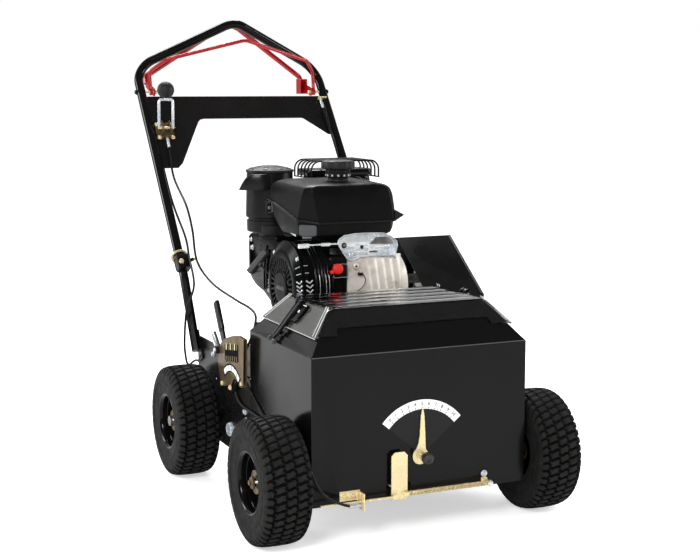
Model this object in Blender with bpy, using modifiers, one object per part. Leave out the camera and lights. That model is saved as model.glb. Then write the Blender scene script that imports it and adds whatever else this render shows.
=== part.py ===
"""Walk-behind slice seeder with a seed hopper, a slicing reel, an engine and a sprung-bail handle.

Lengths are in metres and +Z is up. The operator stands at +Y and looks towards -Y, and left and right
are the operator's, so left is +X. Every piece is a child of the empty machine_frame. The lengths below
are measured from that empty, which lies on the floor under the front axle, and it is placed so that the
origin of the world is in the middle of the machine's footprint.
"""
import math

import bmesh
import bpy
from mathutils import Matrix, Vector

# Clearances
SEAT = 0.0003                 # between two pieces that rest on each other
RUN = 0.0003                  # round a shaft that turns

# Wheels and axles
TYRE_RADIUS = 0.1397
TYRE_WIDTH = 0.107
RIM_RADIUS = 0.0640
TRACK = 0.660
WHEELBASE = 0.599
FRONT_SHAFT_RADIUS = 0.0095
REAR_SHAFT_RADIUS = 0.0127
HUB_RADIUS = 0.0240
HUB_HALF_WIDTH = 0.0360
WHEEL_STEPS = 20

# Hopper
HOPPER_HALF_WIDTH = 0.2610
HOPPER_FRONT_Y = -0.0740
HOPPER_BACK_Y = 0.3010
HOPPER_FLOOR_Z = 0.1200
HOPPER_BACK_FLOOR_Z = 0.2620
HOPPER_SHOULDER_Z = 0.4130
HOPPER_TOP_Z = 0.5000
HOPPER_TOP_HALF_WIDTH = 0.1900
HOPPER_TOP_FRONT_Y = 0.0000
HOPPER_TOP_BACK_Y = 0.2220
HOPPER_WALL = 0.0025
HOPPER_LIP_Z = 0.0950
FLOOR_FLAT_BACK_Y = 0.0100
MOUTH_HALF_WIDTH = 0.1650
MOUTH_FRONT_Y = 0.0220
MOUTH_BACK_Y = 0.2000
FEED_HOLE_COUNT = 8
FEED_HOLE_PITCH = 0.0560
FEED_HOLE_SIZE = (0.0090, 0.0180)
FEED_HOLE_Y = -0.0310
AGITATOR_AT = (-0.0310, 0.1640)
AGITATOR_RADIUS = 0.0060
AGITATOR_PIN_COUNT = 8
AGITATOR_PIN_REACH = 0.0300

# Lid and its draw latches
LID_WALL = 0.0027
LID_SKIRT_Z = 0.4520
LID_SLOPE_GAP = 0.0015
LID_RIB_COUNT = 5
LID_RIB_HALF_LENGTH = 0.1680
LATCH_Y = 0.1150
LATCH_PIVOT = (0.2086, 0.5026)
LATCH_BAR_AT = (0.2608, 0.4315)
LATCH_BAR_RADIUS = 0.0045

# Seed gate and rate dial
GATE_THICKNESS = 0.0025
GATE_TRAVEL = 0.0100
GATE_FRONT_Y = -0.0550
GATE_BACK_Y = -0.0080
GATE_HALF_WIDTH = 0.2350
GATE_ARM_X = (-0.0800, -0.0410)
GATE_ARM_Y = -0.0870
GATE_ARM_TOP_Z = 0.1940
GATE_ARM_FOOT_Z = 0.0880
GATE_ARM_CHAMFER = 0.0085
GATE_ROD_RADIUS = 0.0025
GATE_ROD_END_X = -0.2500
GATE_ROD_YZ = (-0.0945, 0.0975)
SPRING_YZ = (-0.0945, 0.1010)
SPRING_RADIUS = 0.0060
SPRING_END_X = 0.1535
SPRING_TURNS = 12
DIAL_PIVOT_Z = 0.1770
POINTER_LENGTH = 0.1110
POINTER_THICKNESS = 0.0020
DIAL_KNOB_RADIUS = 0.0140
DIAL_SCREW_RADIUS = 0.0040

# Chassis
SIDE_PLATE = 0.0040
SIDE_PLATE_X = HOPPER_HALF_WIDTH + SEAT + SIDE_PLATE / 2
CHASSIS_BOTTOM_Z = 0.0950
DECK_TOP_Z = 0.3597
DECK_THICKNESS = 0.0050
DECK_FRONT_Y = 0.3120
DECK_BACK_Y = 0.6900
DECK_FLANGE_Z = 0.2950

# Slicing reel on its swinging carriage
REEL_Y = 0.4300
REEL_Z = 0.1460
REEL_RADIUS = 0.1250
REEL_ROOT_RADIUS = 0.0780
REEL_SHAFT_RADIUS = 0.0125
REEL_DISC_COUNT = 8
REEL_DISC_FIRST_X = -0.2045
REEL_DISC_PITCH = 0.0585
REEL_DISC_THICKNESS = 0.0030
REEL_BLADE_COUNT = 6
CARRIAGE_PIVOT_Y = 0.2700
CARRIAGE_PIVOT_Z = 0.2000
CARRIAGE_ARM_X = 0.2525
CARRIAGE_ARM_THICKNESS = 0.0050
CARRIAGE_DROP_DEG = 8.5
BEARING_RADIUS = 0.0170
SLOT_MARGIN = 0.0015

# Depth lever and its quadrant
DEPTH_PIVOT_Y = 0.3850
DEPTH_PIVOT_Z = 0.2620
DEPTH_LEVER_LENGTH = 0.2270
DEPTH_LEVER_LEAN_DEG = 32.6
QUADRANT_PLATE = 0.0030

# Belt drive
BELT_X = 0.2350
BELT_WIDTH = 0.0124
BELT_DEPTH = 0.0080
PULLEY_WIDTH = 0.0170
PULLEY_FLANGE = 0.0020
CRANK_PULLEY_RADIUS = 0.0300
REEL_PULLEY_RADIUS = 0.0600
IDLER_RADIUS = 0.0220
IDLER_AT = (0.4920, 0.3000)
IDLER_PIVOT = (0.5450, 0.2500)
GUARD_INNER_X = 0.1960
GUARD_OUTER_X = 0.3500
GUARD_WALL = 0.0020

# Ground drive
CHAIN_X = 0.1200
DRIVE_SPROCKET_RADIUS = 0.0170
AXLE_SPROCKET_RADIUS = 0.0340
DRIVE_SHAFT_AT = (0.5850, 0.3000)
CHAIN_DEPTH = 0.0070

# Engine
CRANK_Y = 0.3900
CRANK_Z = 0.4975
CASE_X = (-0.0547, 0.1340)
CASE_Y = (0.3120, 0.4700)
CASE_TOP_Z = 0.5750
PTO_FACE_X = 0.1600
CRANKSHAFT_RADIUS = 0.0125
BLOWER_X = (-0.1270, -0.0550)
BLOWER_RADIUS = 0.1120
BLOWER_BACK_Y = 0.6700
RECOIL_RADIUS = 0.1090
RECOIL_FACE_X = -0.1445
TANK_X = (-0.1240, 0.1240)
TANK_Y = (0.3000, 0.5500)
TANK_FLOOR_Z = 0.6220
TANK_TOP_Z = 0.7400
CAP_AT = (0.0080, 0.4000)
CAP_RADIUS = 0.0415
CANISTER_AT = (-0.0870, 0.6200)
CANISTER_RADIUS = 0.0620
MUFFLER_AT = (0.1000, 0.6200, 0.7150)
GRIP_AT = (-0.1630, 0.5200, 0.5380)
GRIP_PULL = tuple(Vector((-0.45, 0.85, 0.70)).normalized())
GRIP_ALONG = tuple(Vector((0.529, -0.357, 0.771)).normalized())
STOP_AT = (-0.0440, 0.5480)
STOP_FRONT_Y = CASE_Y[0] - 0.0240

# Handle
HANDLE_TUBE_RADIUS = 0.0127
HANDLE_X = SIDE_PLATE_X + SIDE_PLATE / 2 + SEAT + HANDLE_TUBE_RADIUS
HANDLE_FOOT = (0.6580, 0.3020)
HANDLE_JOINT = (0.7850, 0.5200)
HANDLE_CORNER = (1.1870, 1.0300)
HANDLE_APEX = (1.1260, 1.1630)
HANDLE_PLATE_THICKNESS = 0.0030
BAIL_PIVOT_ALONG = 0.5630
THIN_BAIL_RADIUS = 0.0050
THICK_BAIL_RADIUS = 0.0080
THICK_BAIL_BACK_Y = 1.2220
CABLE_RADIUS = 0.0030
KNOB_RADIUS = 0.0235
SEED_LEVER_X = -0.2380
SEED_PIVOT_ALONG = 0.4225
SEED_PIVOT_FRONT = 0.0200
CABLE_STOP_ALONG = 0.5300
CABLE_STOP_FRONT = 0.0110

# The machine's length runs from the front tyres to the back of the thick bail
FRONT_AXLE_Y = -(THICK_BAIL_BACK_Y + THICK_BAIL_RADIUS - TYRE_RADIUS) / 2

LEG = Vector((0, HANDLE_CORNER[0] - HANDLE_JOINT[0], HANDLE_CORNER[1] - HANDLE_JOINT[1])).normalized()
LEG_FRONT = Vector((0, -LEG.z, LEG.y))


# Scene and materials

def clear_scene():
    for obj in list(bpy.data.objects):
        bpy.data.objects.remove(obj, do_unlink=True)


def new_collection(name):
    collection = bpy.data.collections.new(name)
    bpy.context.scene.collection.children.link(collection)
    return collection


def new_material(name, colour, roughness, metallic=0.0, alpha=1.0):
    material = bpy.data.materials.new(name)
    material.use_nodes = True
    shader = material.node_tree.nodes["Principled BSDF"]
    shader.inputs["Base Color"].default_value = (*colour, 1.0)
    shader.inputs["Roughness"].default_value = roughness
    shader.inputs["Metallic"].default_value = metallic
    shader.inputs["Alpha"].default_value = alpha
    material.diffuse_color = (*colour, alpha)
    return material


clear_scene()
PARTS = new_collection("slice_seeder")
GUIDES = new_collection("cutters_and_guides")

GLOSS_BLACK = new_material("gloss_black_paint", (0.012, 0.012, 0.013), 0.22)
SATIN_BLACK = new_material("satin_black_paint", (0.020, 0.020, 0.021), 0.42)
BLACK_PLASTIC = new_material("black_plastic", (0.028, 0.028, 0.030), 0.55)
RUBBER = new_material("tyre_rubber", (0.030, 0.030, 0.031), 0.85)
BLACK_RUBBER = new_material("black_rubber", (0.020, 0.020, 0.020), 0.75)
CLEAR_PLASTIC = new_material("clear_plastic", (0.45, 0.46, 0.46), 0.12, alpha=0.35)
YELLOW_ZINC = new_material("yellow_zinc_plate", (0.66, 0.52, 0.26), 0.35, 0.9)
BRIGHT_ZINC = new_material("bright_zinc_plate", (0.74, 0.76, 0.78), 0.30, 1.0)
CAST_ALUMINIUM = new_material("cast_aluminium", (0.62, 0.61, 0.59), 0.45, 0.9)
BARE_STEEL = new_material("bare_steel", (0.45, 0.45, 0.46), 0.40, 1.0)
RED_PAINT = new_material("red_paint", (0.60, 0.010, 0.012), 0.28)
RED_PLASTIC = new_material("red_plastic", (0.75, 0.020, 0.015), 0.35)

FRAME = bpy.data.objects.new("machine_frame", None)
FRAME.location = (0, FRONT_AXLE_Y, 0)
GUIDES.objects.link(FRAME)


# Shapes

def guide(name, mesh):
    """An object that only helps to make a piece: it is hidden and left out of the model."""
    obj = bpy.data.objects.new(name, mesh)
    GUIDES.objects.link(obj)
    obj.parent = FRAME
    obj.hide_render = True
    obj.display_type = "WIRE"
    return obj


def mesh_from(bm, name):
    bmesh.ops.recalc_face_normals(bm, faces=bm.faces)
    mesh = bpy.data.meshes.new(name)
    bm.to_mesh(mesh)
    bm.free()
    return mesh


def box(low, high, name="box"):
    low, high = Vector(low), Vector(high)
    bm = bmesh.new()
    size = Matrix.Diagonal((*(high - low), 1))
    bmesh.ops.create_cube(bm, size=1, matrix=Matrix.Translation((low + high) / 2) @ size)
    return guide(name, mesh_from(bm, name))


def box_x(x, y, z):
    """A box from its ranges along X, Y and Z."""
    return box((x[0], y[0], z[0]), (x[1], y[1], z[1]))


def bar(start, end, width, depth, side=(1, 0, 0), name="bar"):
    """A rectangular bar between two points, with its width along side."""
    start, end = Vector(start), Vector(end)
    along = (end - start).normalized()
    across = Vector(side).normalized()
    normal = along.cross(across)
    turn = Matrix((across, normal, along)).transposed().to_4x4()
    size = Matrix.Diagonal((width, depth, (end - start).length, 1))
    bm = bmesh.new()
    bmesh.ops.create_cube(bm, size=1, matrix=Matrix.Translation((start + end) / 2) @ turn @ size)
    return guide(name, mesh_from(bm, name))


def rod(start, end, radius, sides=16, name="rod"):
    start, end = Vector(start), Vector(end)
    turn = (end - start).to_track_quat("Z", "Y").to_matrix().to_4x4()
    bm = bmesh.new()
    bmesh.ops.create_cone(bm, cap_ends=True, segments=sides, radius1=radius, radius2=radius,
                          depth=(end - start).length, matrix=Matrix.Translation((start + end) / 2) @ turn)
    return guide(name, mesh_from(bm, name))


def rod_x(x, yz, radius, sides=16):
    """A round bar along X at a place (y, z)."""
    return rod((x[0], *yz), (x[1], *yz), radius, sides)


def ball(centre, radius, name="ball"):
    bm = bmesh.new()
    bmesh.ops.create_uvsphere(bm, u_segments=12, v_segments=8, radius=radius,
                              matrix=Matrix.Translation(centre))
    return guide(name, mesh_from(bm, name))


def hull(points, name="hull"):
    """The closed form stretched over a few corner points."""
    bm = bmesh.new()
    for point in points:
        bm.verts.new(point)
    bmesh.ops.convex_hull(bm, input=bm.verts)
    bmesh.ops.dissolve_limit(bm, angle_limit=math.radians(0.5), verts=bm.verts, edges=bm.edges)
    return guide(name, mesh_from(bm, name))


def turned(profile, at, axis, steps, name="turned"):
    """A turned body. The profile holds (radius, place along the axis) and runs down the outer side."""
    bm = bmesh.new()
    verts = [bm.verts.new((radius, 0, along)) for radius, along in profile]
    closed = profile[0][0] > 0
    ends = verts[1:] + verts[:1] if closed else verts[1:]
    for first, second in zip(verts, ends):
        bm.edges.new((first, second))
    mesh = bpy.data.meshes.new(name)
    bm.to_mesh(mesh)
    bm.free()
    obj = guide(name, mesh)
    obj.location = at
    obj.rotation_euler = {"X": (0, math.pi / 2, 0), "Y": (-math.pi / 2, 0, 0), "Z": (0, 0, 0)}[axis]
    screw = obj.modifiers.new("turn", "SCREW")
    screw.steps = steps
    screw.render_steps = steps
    screw.use_merge_vertices = True
    screw.merge_threshold = 0.00001
    return obj


def arc(centre, radius, start_deg, end_deg, count):
    """Points of an arc, as pairs, from one angle to another."""
    span = end_deg - start_deg
    angles = [math.radians(start_deg + span * step / (count - 1)) for step in range(count)]
    return [(centre[0] + radius * math.cos(a), centre[1] + radius * math.sin(a)) for a in angles]


def circle(centre, radius, count=20):
    return arc(centre, radius, 0, 360 - 360 / count, count)


def rounded(points, radius, count=4):
    """An outline with each corner rounded, where a corner's radius may be given with its point."""
    result = []
    for index, corner in enumerate(points):
        before = Vector(points[index - 1][:2])
        after = Vector(points[(index + 1) % len(points)][:2])
        here = Vector(corner[:2])
        size = corner[2] if len(corner) > 2 else radius
        if size <= 0:
            result.append(tuple(here))
            continue
        back = (before - here).normalized()
        ahead = (after - here).normalized()
        half = back.angle(ahead) / 2
        reach = size / math.tan(half)
        centre = here + (back + ahead).normalized() * size / math.sin(half)
        first = here + back * reach - centre
        last = here + ahead * reach - centre
        turn = first.angle_signed(last)
        for step in range(count):
            swing = Matrix.Rotation(-turn * step / (count - 1), 2)
            result.append(tuple(centre + swing @ first))
    return result


PLANES = {
    "X": Matrix(((0, 0, 1), (1, 0, 0), (0, 1, 0))),
    "Y": Matrix(((1, 0, 0), (0, 0, -1), (0, 1, 0))),
    "Z": Matrix(((1, 0, 0), (0, 1, 0), (0, 0, 1))),
    "LEG": Matrix(((1, 0, 0), (0, LEG.y, LEG_FRONT.y), (0, LEG.z, LEG_FRONT.z))),
}


def flat(outlines, thickness, plane, at, name="flat"):
    """A flat piece from outlines in a plane, of which the first is the edge and the rest are holes."""
    curve = bpy.data.curves.new(name, "CURVE")
    curve.dimensions = "2D"
    curve.fill_mode = "BOTH"
    curve.extrude = thickness / 2
    for outline in outlines:
        spline = curve.splines.new("POLY")
        spline.points.add(len(outline) - 1)
        for point, (across, up) in zip(spline.points, outline):
            point.co = (across, up, 0, 1)
        spline.use_cyclic_u = True
    shape = bpy.data.objects.new(name, curve)
    GUIDES.objects.link(shape)
    turn = PLANES[plane].to_4x4()
    shift = turn @ Vector((0, 0, at)) if plane in "XYZ" else Vector(at)
    if plane == "Y":
        shift = Vector((0, at, 0))
    return welded(shape, Matrix.Translation(shift) @ turn, name)


def welded(shape, matrix, name):
    """A curve's solid as one closed mesh."""
    bpy.context.view_layer.update()
    evaluated = shape.evaluated_get(bpy.context.evaluated_depsgraph_get())
    mesh = bpy.data.meshes.new_from_object(evaluated)
    bpy.data.objects.remove(shape, do_unlink=True)
    bm = bmesh.new()
    bm.from_mesh(mesh)
    bpy.data.meshes.remove(mesh)
    bmesh.ops.remove_doubles(bm, verts=bm.verts, dist=0.00001)
    bmesh.ops.transform(bm, matrix=matrix, verts=bm.verts)
    return guide(name, mesh_from(bm, name))


def tube(points, radius, detail=3, name="tube"):
    """A round tube or wire along a path."""
    curve = bpy.data.curves.new(name, "CURVE")
    curve.dimensions = "3D"
    curve.bevel_depth = radius
    curve.bevel_resolution = detail
    curve.use_fill_caps = True
    spline = curve.splines.new("POLY")
    spline.points.add(len(points) - 1)
    for point, place in zip(spline.points, points):
        point.co = (*place, 1)
    shape = bpy.data.objects.new(name, curve)
    GUIDES.objects.link(shape)
    return welded(shape, Matrix.Identity(4), name)


def bent(points, radii, count=5):
    """A path whose inner corners are bends of the given radii."""
    path = [Vector(points[0])]
    for index in range(1, len(points) - 1):
        here = Vector(points[index])
        back = (Vector(points[index - 1]) - here).normalized()
        ahead = (Vector(points[index + 1]) - here).normalized()
        half = back.angle(ahead) / 2
        radius = radii[index - 1]
        reach = radius / math.tan(half)
        centre = here + (back + ahead).normalized() * radius / math.sin(half)
        first = here + back * reach - centre
        last = here + ahead * reach - centre
        normal = first.cross(last).normalized()
        sweep = first.angle(last)
        for step in range(count):
            path.append(centre + Matrix.Rotation(sweep * step / (count - 1), 3, normal) @ first)
    path.append(Vector(points[-1]))
    return path


def smooth_path(points, spacing):
    """A smooth curve through the points, read at about even distances."""
    knots = [Vector(point) for point in points]
    knots = [2 * knots[0] - knots[1], *knots, 2 * knots[-1] - knots[-2]]
    path = []
    for index in range(1, len(knots) - 2):
        before, start, end, after = knots[index - 1:index + 3]
        count = max(1, round((end - start).length / spacing))
        for step in range(count):
            t = step / count
            path.append(0.5 * (2 * start + (end - before) * t
                               + (2 * before - 5 * start + 4 * end - after) * t ** 2
                               + (3 * start - before - 3 * end + after) * t ** 3))
    path.append(knots[-2])
    return path


def tangent_loop(first, first_radius, second, second_radius, count=12):
    """The closed line of a belt or chain round two wheels, as points (y, z)."""
    start, end = Vector(first), Vector(second)
    along = math.atan2(end.y - start.y, end.x - start.x)
    lean = math.acos((first_radius - second_radius) / (end - start).length)
    low, high = math.degrees(along - lean), math.degrees(along + lean)
    return (arc(start, first_radius, high, low + 360, count)
            + arc(end, second_radius, low, high, count))


# Pieces

def on_leg(along, front=0.0, x=0.0):
    """A point on the plane of the handle's legs, measured from the handle's joint."""
    joint = Vector((x, *HANDLE_JOINT))
    return joint + LEG * along + LEG_FRONT * front


def join(base, others):
    for other in others:
        modifier = base.modifiers.new("join", "BOOLEAN")
        modifier.operation = "UNION"
        modifier.object = other
    return base


def cut(base, others):
    for other in others:
        modifier = base.modifiers.new("cut", "BOOLEAN")
        modifier.operation = "DIFFERENCE"
        modifier.object = other
    return base


def bevel(base, width, segments=2, angle=40):
    modifier = base.modifiers.new("edges", "BEVEL")
    modifier.width = width
    modifier.segments = segments
    modifier.limit_method = "ANGLE"
    modifier.angle_limit = math.radians(angle)
    return base


def piece(name, base, material, origin=None):
    """Turn a finished form into a named piece, with its origin on its joint where it has one."""
    GUIDES.objects.unlink(base)
    PARTS.objects.link(base)
    base.name = name
    base.data.name = name
    base.hide_render = False
    base.display_type = "TEXTURED"
    base.data.materials.clear()
    base.data.materials.append(material)
    if origin is not None:
        base.data.transform(Matrix.Translation(-Vector(origin)))
        base.location = origin
    if len(base.data.polygons):
        base.data.shade_smooth()
        base.data.set_sharp_from_angle(angle=math.radians(35))
    return base


def both_sides(make):
    """The right and the left copy of a solid that make(side) builds for side -1 and 1."""
    return [make(-1), make(1)]


# Wheels

def tyre(at):
    half = TYRE_WIDTH / 2
    outer = [(RIM_RADIUS, 0.0435), (0.0850, 0.0510), (0.1120, half), (0.1330, 0.0470), (TYRE_RADIUS, 0.0290)]
    loop = [*outer, *[(radius, -along) for radius, along in reversed(outer)]]
    return turned(loop, at, "X", WHEEL_STEPS, "tyre")


def rim(at, bore):
    seat = RIM_RADIUS - SEAT
    inner = seat - 0.0022
    loop = [(0.0700, 0.0478), (seat, 0.0440), (seat, -0.0440), (0.0700, -0.0478), (inner, -0.0450),
            (inner, -0.0060), (HUB_RADIUS, -0.0025), (HUB_RADIUS, -HUB_HALF_WIDTH), (bore, -HUB_HALF_WIDTH),
            (bore, HUB_HALF_WIDTH), (HUB_RADIUS, HUB_HALF_WIDTH), (HUB_RADIUS, 0.0025), (inner, 0.0060),
            (inner, 0.0450)]
    return turned(loop, at, "X", WHEEL_STEPS, "rim")


def make_wheels():
    for side, word in ((-1, "right"), (1, "left")):
        centre = (side * TRACK / 2, 0, TYRE_RADIUS)
        piece(f"front_tyre_{word}", tyre(centre), RUBBER)
        piece(f"front_wheel_{word}", rim(centre, FRONT_SHAFT_RADIUS + RUN), GLOSS_BLACK)
        centre = (side * TRACK / 2, WHEELBASE, TYRE_RADIUS)
        piece(f"rear_tyre_{word}", tyre(centre), RUBBER)
        piece(f"rear_wheel_{word}", rim(centre, REAR_SHAFT_RADIUS + RUN), GLOSS_BLACK)


def front_stub(side):
    """The stub axle of a front wheel, on a flange outside the side plate."""
    plate_face = SIDE_PLATE_X
    hub_inner = TRACK / 2 - HUB_HALF_WIDTH
    hub_outer = TRACK / 2 + HUB_HALF_WIDTH
    centre = (0, TYRE_RADIUS)
    flange = box_x(sorted((side * plate_face, side * (plate_face + 0.007))), (-0.026, 0.030),
                   (TYRE_RADIUS - 0.026, TYRE_RADIUS + 0.026))
    collar = rod_x((side * plate_face, side * (hub_inner - SEAT)), centre, 0.0150, 12)
    shaft = rod_x((side * plate_face, side * (hub_outer + 0.0060)), centre, FRONT_SHAFT_RADIUS, 12)
    washer = rod_x((side * (hub_outer + SEAT), side * (hub_outer + 0.0045)), centre, 0.0140, 6)
    return [flange, collar, shaft, washer]


def axle_bearing(side):
    """The rear axle's bearing housing on the inner face of a side plate."""
    centre = (WHEELBASE, TYRE_RADIUS)
    face = HOPPER_HALF_WIDTH
    flange = rod_x((side * (face - 0.004), side * SIDE_PLATE_X), centre, 0.0330, 12)
    body = rod_x((side * (face - 0.014), side * SIDE_PLATE_X), centre, 0.0230, 12)
    return [flange, body]


# Hopper

def hopper_form(inset):
    """The hopper's closed outer form, or the space inside it when inset by its wall."""
    half = HOPPER_HALF_WIDTH - inset
    top_half = HOPPER_TOP_HALF_WIDTH - inset * 0.6
    front, back = HOPPER_FRONT_Y + inset, HOPPER_BACK_Y - inset
    floor, back_floor = HOPPER_FLOOR_Z + inset, HOPPER_BACK_FLOOR_Z + inset * 1.1
    top_front, top_back = HOPPER_TOP_FRONT_Y + inset * 0.6, HOPPER_TOP_BACK_Y - inset * 0.6
    top = HOPPER_TOP_Z - inset
    corners = []
    for side in (-1, 1):
        corners += [(side * half, front, floor), (side * half, FLOOR_FLAT_BACK_Y, floor),
                    (side * half, back, back_floor), (side * half, back, HOPPER_SHOULDER_Z - inset * 0.4),
                    (side * half, front, HOPPER_SHOULDER_Z - inset * 0.4),
                    (side * top_half, top_front, top), (side * top_half, top_back, top)]
    return hull(corners, "hopper_form")


def feed_holes(shift, low, high):
    width, depth = FEED_HOLE_SIZE
    first = -(FEED_HOLE_COUNT - 1) / 2 * FEED_HOLE_PITCH
    places = [first + index * FEED_HOLE_PITCH + shift for index in range(FEED_HOLE_COUNT)]
    return [box_x((x - width / 2, x + width / 2), (FEED_HOLE_Y - depth / 2, FEED_HOLE_Y + depth / 2),
                  (low, high)) for x in places]


def latch_keeper(side):
    """The ledge on the roof's side slope that the latch's cross bar is hooked under."""
    pivot = Vector((side * LATCH_PIVOT[0], LATCH_Y, LATCH_PIVOT[1]))
    end = Vector((side * LATCH_BAR_AT[0], LATCH_Y, LATCH_BAR_AT[1]))
    along = (end - pivot).normalized()
    inward = Vector((-side * abs(along.z), 0, -abs(along.x)))
    face = end - along * (LATCH_BAR_RADIUS + SEAT) + inward * 0.00855
    return bar(face - along * 0.009, face, 0.030, 0.0109, (0, 1, 0))


def spring_anchor():
    """The post that the gate spring's fixed end pushes on, with its bolt head."""
    x = (SPRING_END_X + SEAT, SPRING_END_X + SEAT + 0.006)
    y, z = SPRING_YZ
    face = HOPPER_FRONT_Y
    post = box_x(x, (y - 0.008, face + 0.001), (z - 0.0055, z + 0.006))
    head = rod((x[0] + 0.003, face - 0.0025, z + 0.002), (x[0] + 0.003, face + 0.001, z + 0.002), 0.009, 6)
    return [post, head]


def gate_cable_bracket():
    """The angle on the hopper's front lip that holds the end of the gate cable."""
    face = HOPPER_FRONT_Y
    flange = box_x((-0.1970, -0.1500), (face - 0.002, face + 0.001), (0.0965, 0.1180))
    tab = box_x((-0.1560, -0.1535), (-0.1100, face + 0.001), (0.0800, 0.1180))
    return [flange, tab]


def make_hopper():
    shell = hopper_form(0)
    lip = box_x((-HOPPER_HALF_WIDTH, HOPPER_HALF_WIDTH), (HOPPER_FRONT_Y, HOPPER_FRONT_Y + HOPPER_WALL),
                (HOPPER_LIP_Z, HOPPER_FLOOR_Z + 0.004))
    keepers = both_sides(latch_keeper)
    mouth = box_x((-MOUTH_HALF_WIDTH, MOUTH_HALF_WIDTH), (MOUTH_FRONT_Y, MOUTH_BACK_Y),
                  (HOPPER_TOP_Z - 0.03, HOPPER_TOP_Z + 0.03))
    gate_slot = box_x((GATE_ARM_X[0] - 0.004, GATE_ARM_X[1] + GATE_TRAVEL + 0.004),
                      (HOPPER_FRONT_Y - 0.01, HOPPER_FRONT_Y + HOPPER_WALL + 0.001),
                      (HOPPER_LIP_Z + 0.018, HOPPER_FLOOR_Z - 0.00005))
    screw = rod((0, HOPPER_FRONT_Y - 0.01, DIAL_PIVOT_Z), (0, HOPPER_FRONT_Y + 0.01, DIAL_PIVOT_Z),
                DIAL_SCREW_RADIUS + RUN, 12)
    shaft = rod_x((-HOPPER_HALF_WIDTH - 0.01, HOPPER_HALF_WIDTH + 0.01), AGITATOR_AT,
                  AGITATOR_RADIUS + RUN, 12)
    rod_bore = rod_x((-0.17, -0.14), GATE_ROD_YZ, GATE_ROD_RADIUS + RUN, 10)
    join(shell, [lip, *keepers, *spring_anchor(), *gate_cable_bracket()])
    cut(shell, [hopper_form(HOPPER_WALL), mouth, gate_slot, screw, shaft, rod_bore,
                *feed_holes(0, HOPPER_FLOOR_Z - 0.01, HOPPER_FLOOR_Z + 0.01)])
    piece("hopper_shell", shell, GLOSS_BLACK)


def make_agitator():
    half = HOPPER_HALF_WIDTH
    shaft = rod_x((-half, half), AGITATOR_AT, AGITATOR_RADIUS, 12)
    pins = []
    for index in range(AGITATOR_PIN_COUNT):
        x = (index - (AGITATOR_PIN_COUNT - 1) / 2) * FEED_HOLE_PITCH
        turn = math.radians(60 * index)
        reach = Vector((0, math.cos(turn), math.sin(turn))) * AGITATOR_PIN_REACH
        centre = Vector((x, *AGITATOR_AT))
        pins.append(rod(centre - reach, centre + reach, 0.0025, 4))
    piece("agitator", join(shaft, pins), BARE_STEEL, (0, *AGITATOR_AT))


def make_seed_chute():
    shelf = HOPPER_FLOOR_Z - GATE_THICKNESS - 2 * SEAT - 0.0005
    half = HOPPER_HALF_WIDTH - 0.0010
    profile = [(-0.0705, shelf), (-0.0500, shelf), (-0.0500, shelf - 0.003), (-0.0680, shelf - 0.003),
               (-0.0680, 0.0900), (0.1500, 0.0600), (0.1500, 0.0575), (-0.0705, 0.0875)]
    sheet = flat([profile], 2 * half, "X", 0)
    rail = box_x((-half, half), (GATE_BACK_Y - 0.005, 0.0050), (shelf - 0.003, shelf))
    cheek = [(-0.0705, shelf), (0.0100, shelf), (0.1500, 0.0900), (0.1500, 0.0575), (-0.0705, 0.0875)]
    cheeks = both_sides(lambda side: flat([cheek], 0.0025, "X", side * (half - 0.00125)))
    piece("seed_chute", join(sheet, [rail, *cheeks]), SATIN_BLACK)


# Lid and latches

def lid_form(gap, top):
    """The form of the roof above the skirt's edge, moved outwards by a gap along its slopes."""
    rise = (HOPPER_TOP_Z - LID_SKIRT_Z) / (HOPPER_TOP_Z - HOPPER_SHOULDER_Z)

    def along(at_top, at_shoulder):
        return at_top + (at_shoulder - at_top) * rise

    half = along(HOPPER_TOP_HALF_WIDTH, HOPPER_HALF_WIDTH) + gap * 1.25
    front = along(HOPPER_TOP_FRONT_Y, HOPPER_FRONT_Y) - gap * 1.25
    back = along(HOPPER_TOP_BACK_Y, HOPPER_BACK_Y) + gap * 1.25
    low = LID_SKIRT_Z
    corners = []
    for side in (-1, 1):
        corners += [(side * half, front, low), (side * half, back, low),
                    (side * (HOPPER_TOP_HALF_WIDTH + gap * 0.6), HOPPER_TOP_FRONT_Y - gap * 0.6, top),
                    (side * (HOPPER_TOP_HALF_WIDTH + gap * 0.6), HOPPER_TOP_BACK_Y + gap * 0.6, top)]
    return corners


def latch_base(side):
    """The plate, ears and pin on the lid's side slope that carry a latch."""
    pivot = Vector((side * LATCH_PIVOT[0], LATCH_Y, LATCH_PIVOT[1]))
    slope = Vector((side * (HOPPER_HALF_WIDTH - HOPPER_TOP_HALF_WIDTH), 0, HOPPER_SHOULDER_Z - HOPPER_TOP_Z))
    slope.normalize()
    normal = Vector((-slope.z * side, 0, abs(slope.x)))
    skin = Vector((side * HOPPER_TOP_HALF_WIDTH, LATCH_Y, HOPPER_TOP_Z)) + normal * 0.0046
    pad = bar(skin + slope * 0.006, skin + slope * 0.052, 0.046, 0.0034, (0, 1, 0))
    parts = [pad]
    for shift in (-0.0105, 0.0105):
        place = skin + Vector((0, shift, 0)) + normal * 0.0080
        parts.append(bar(place + slope * 0.004, place + slope * 0.018, 0.004, 0.018, (0, 1, 0)))
    parts.append(rod(pivot - Vector((0, 0.012, 0)), pivot + Vector((0, 0.012, 0)), 0.0028, 10))
    return parts


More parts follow.
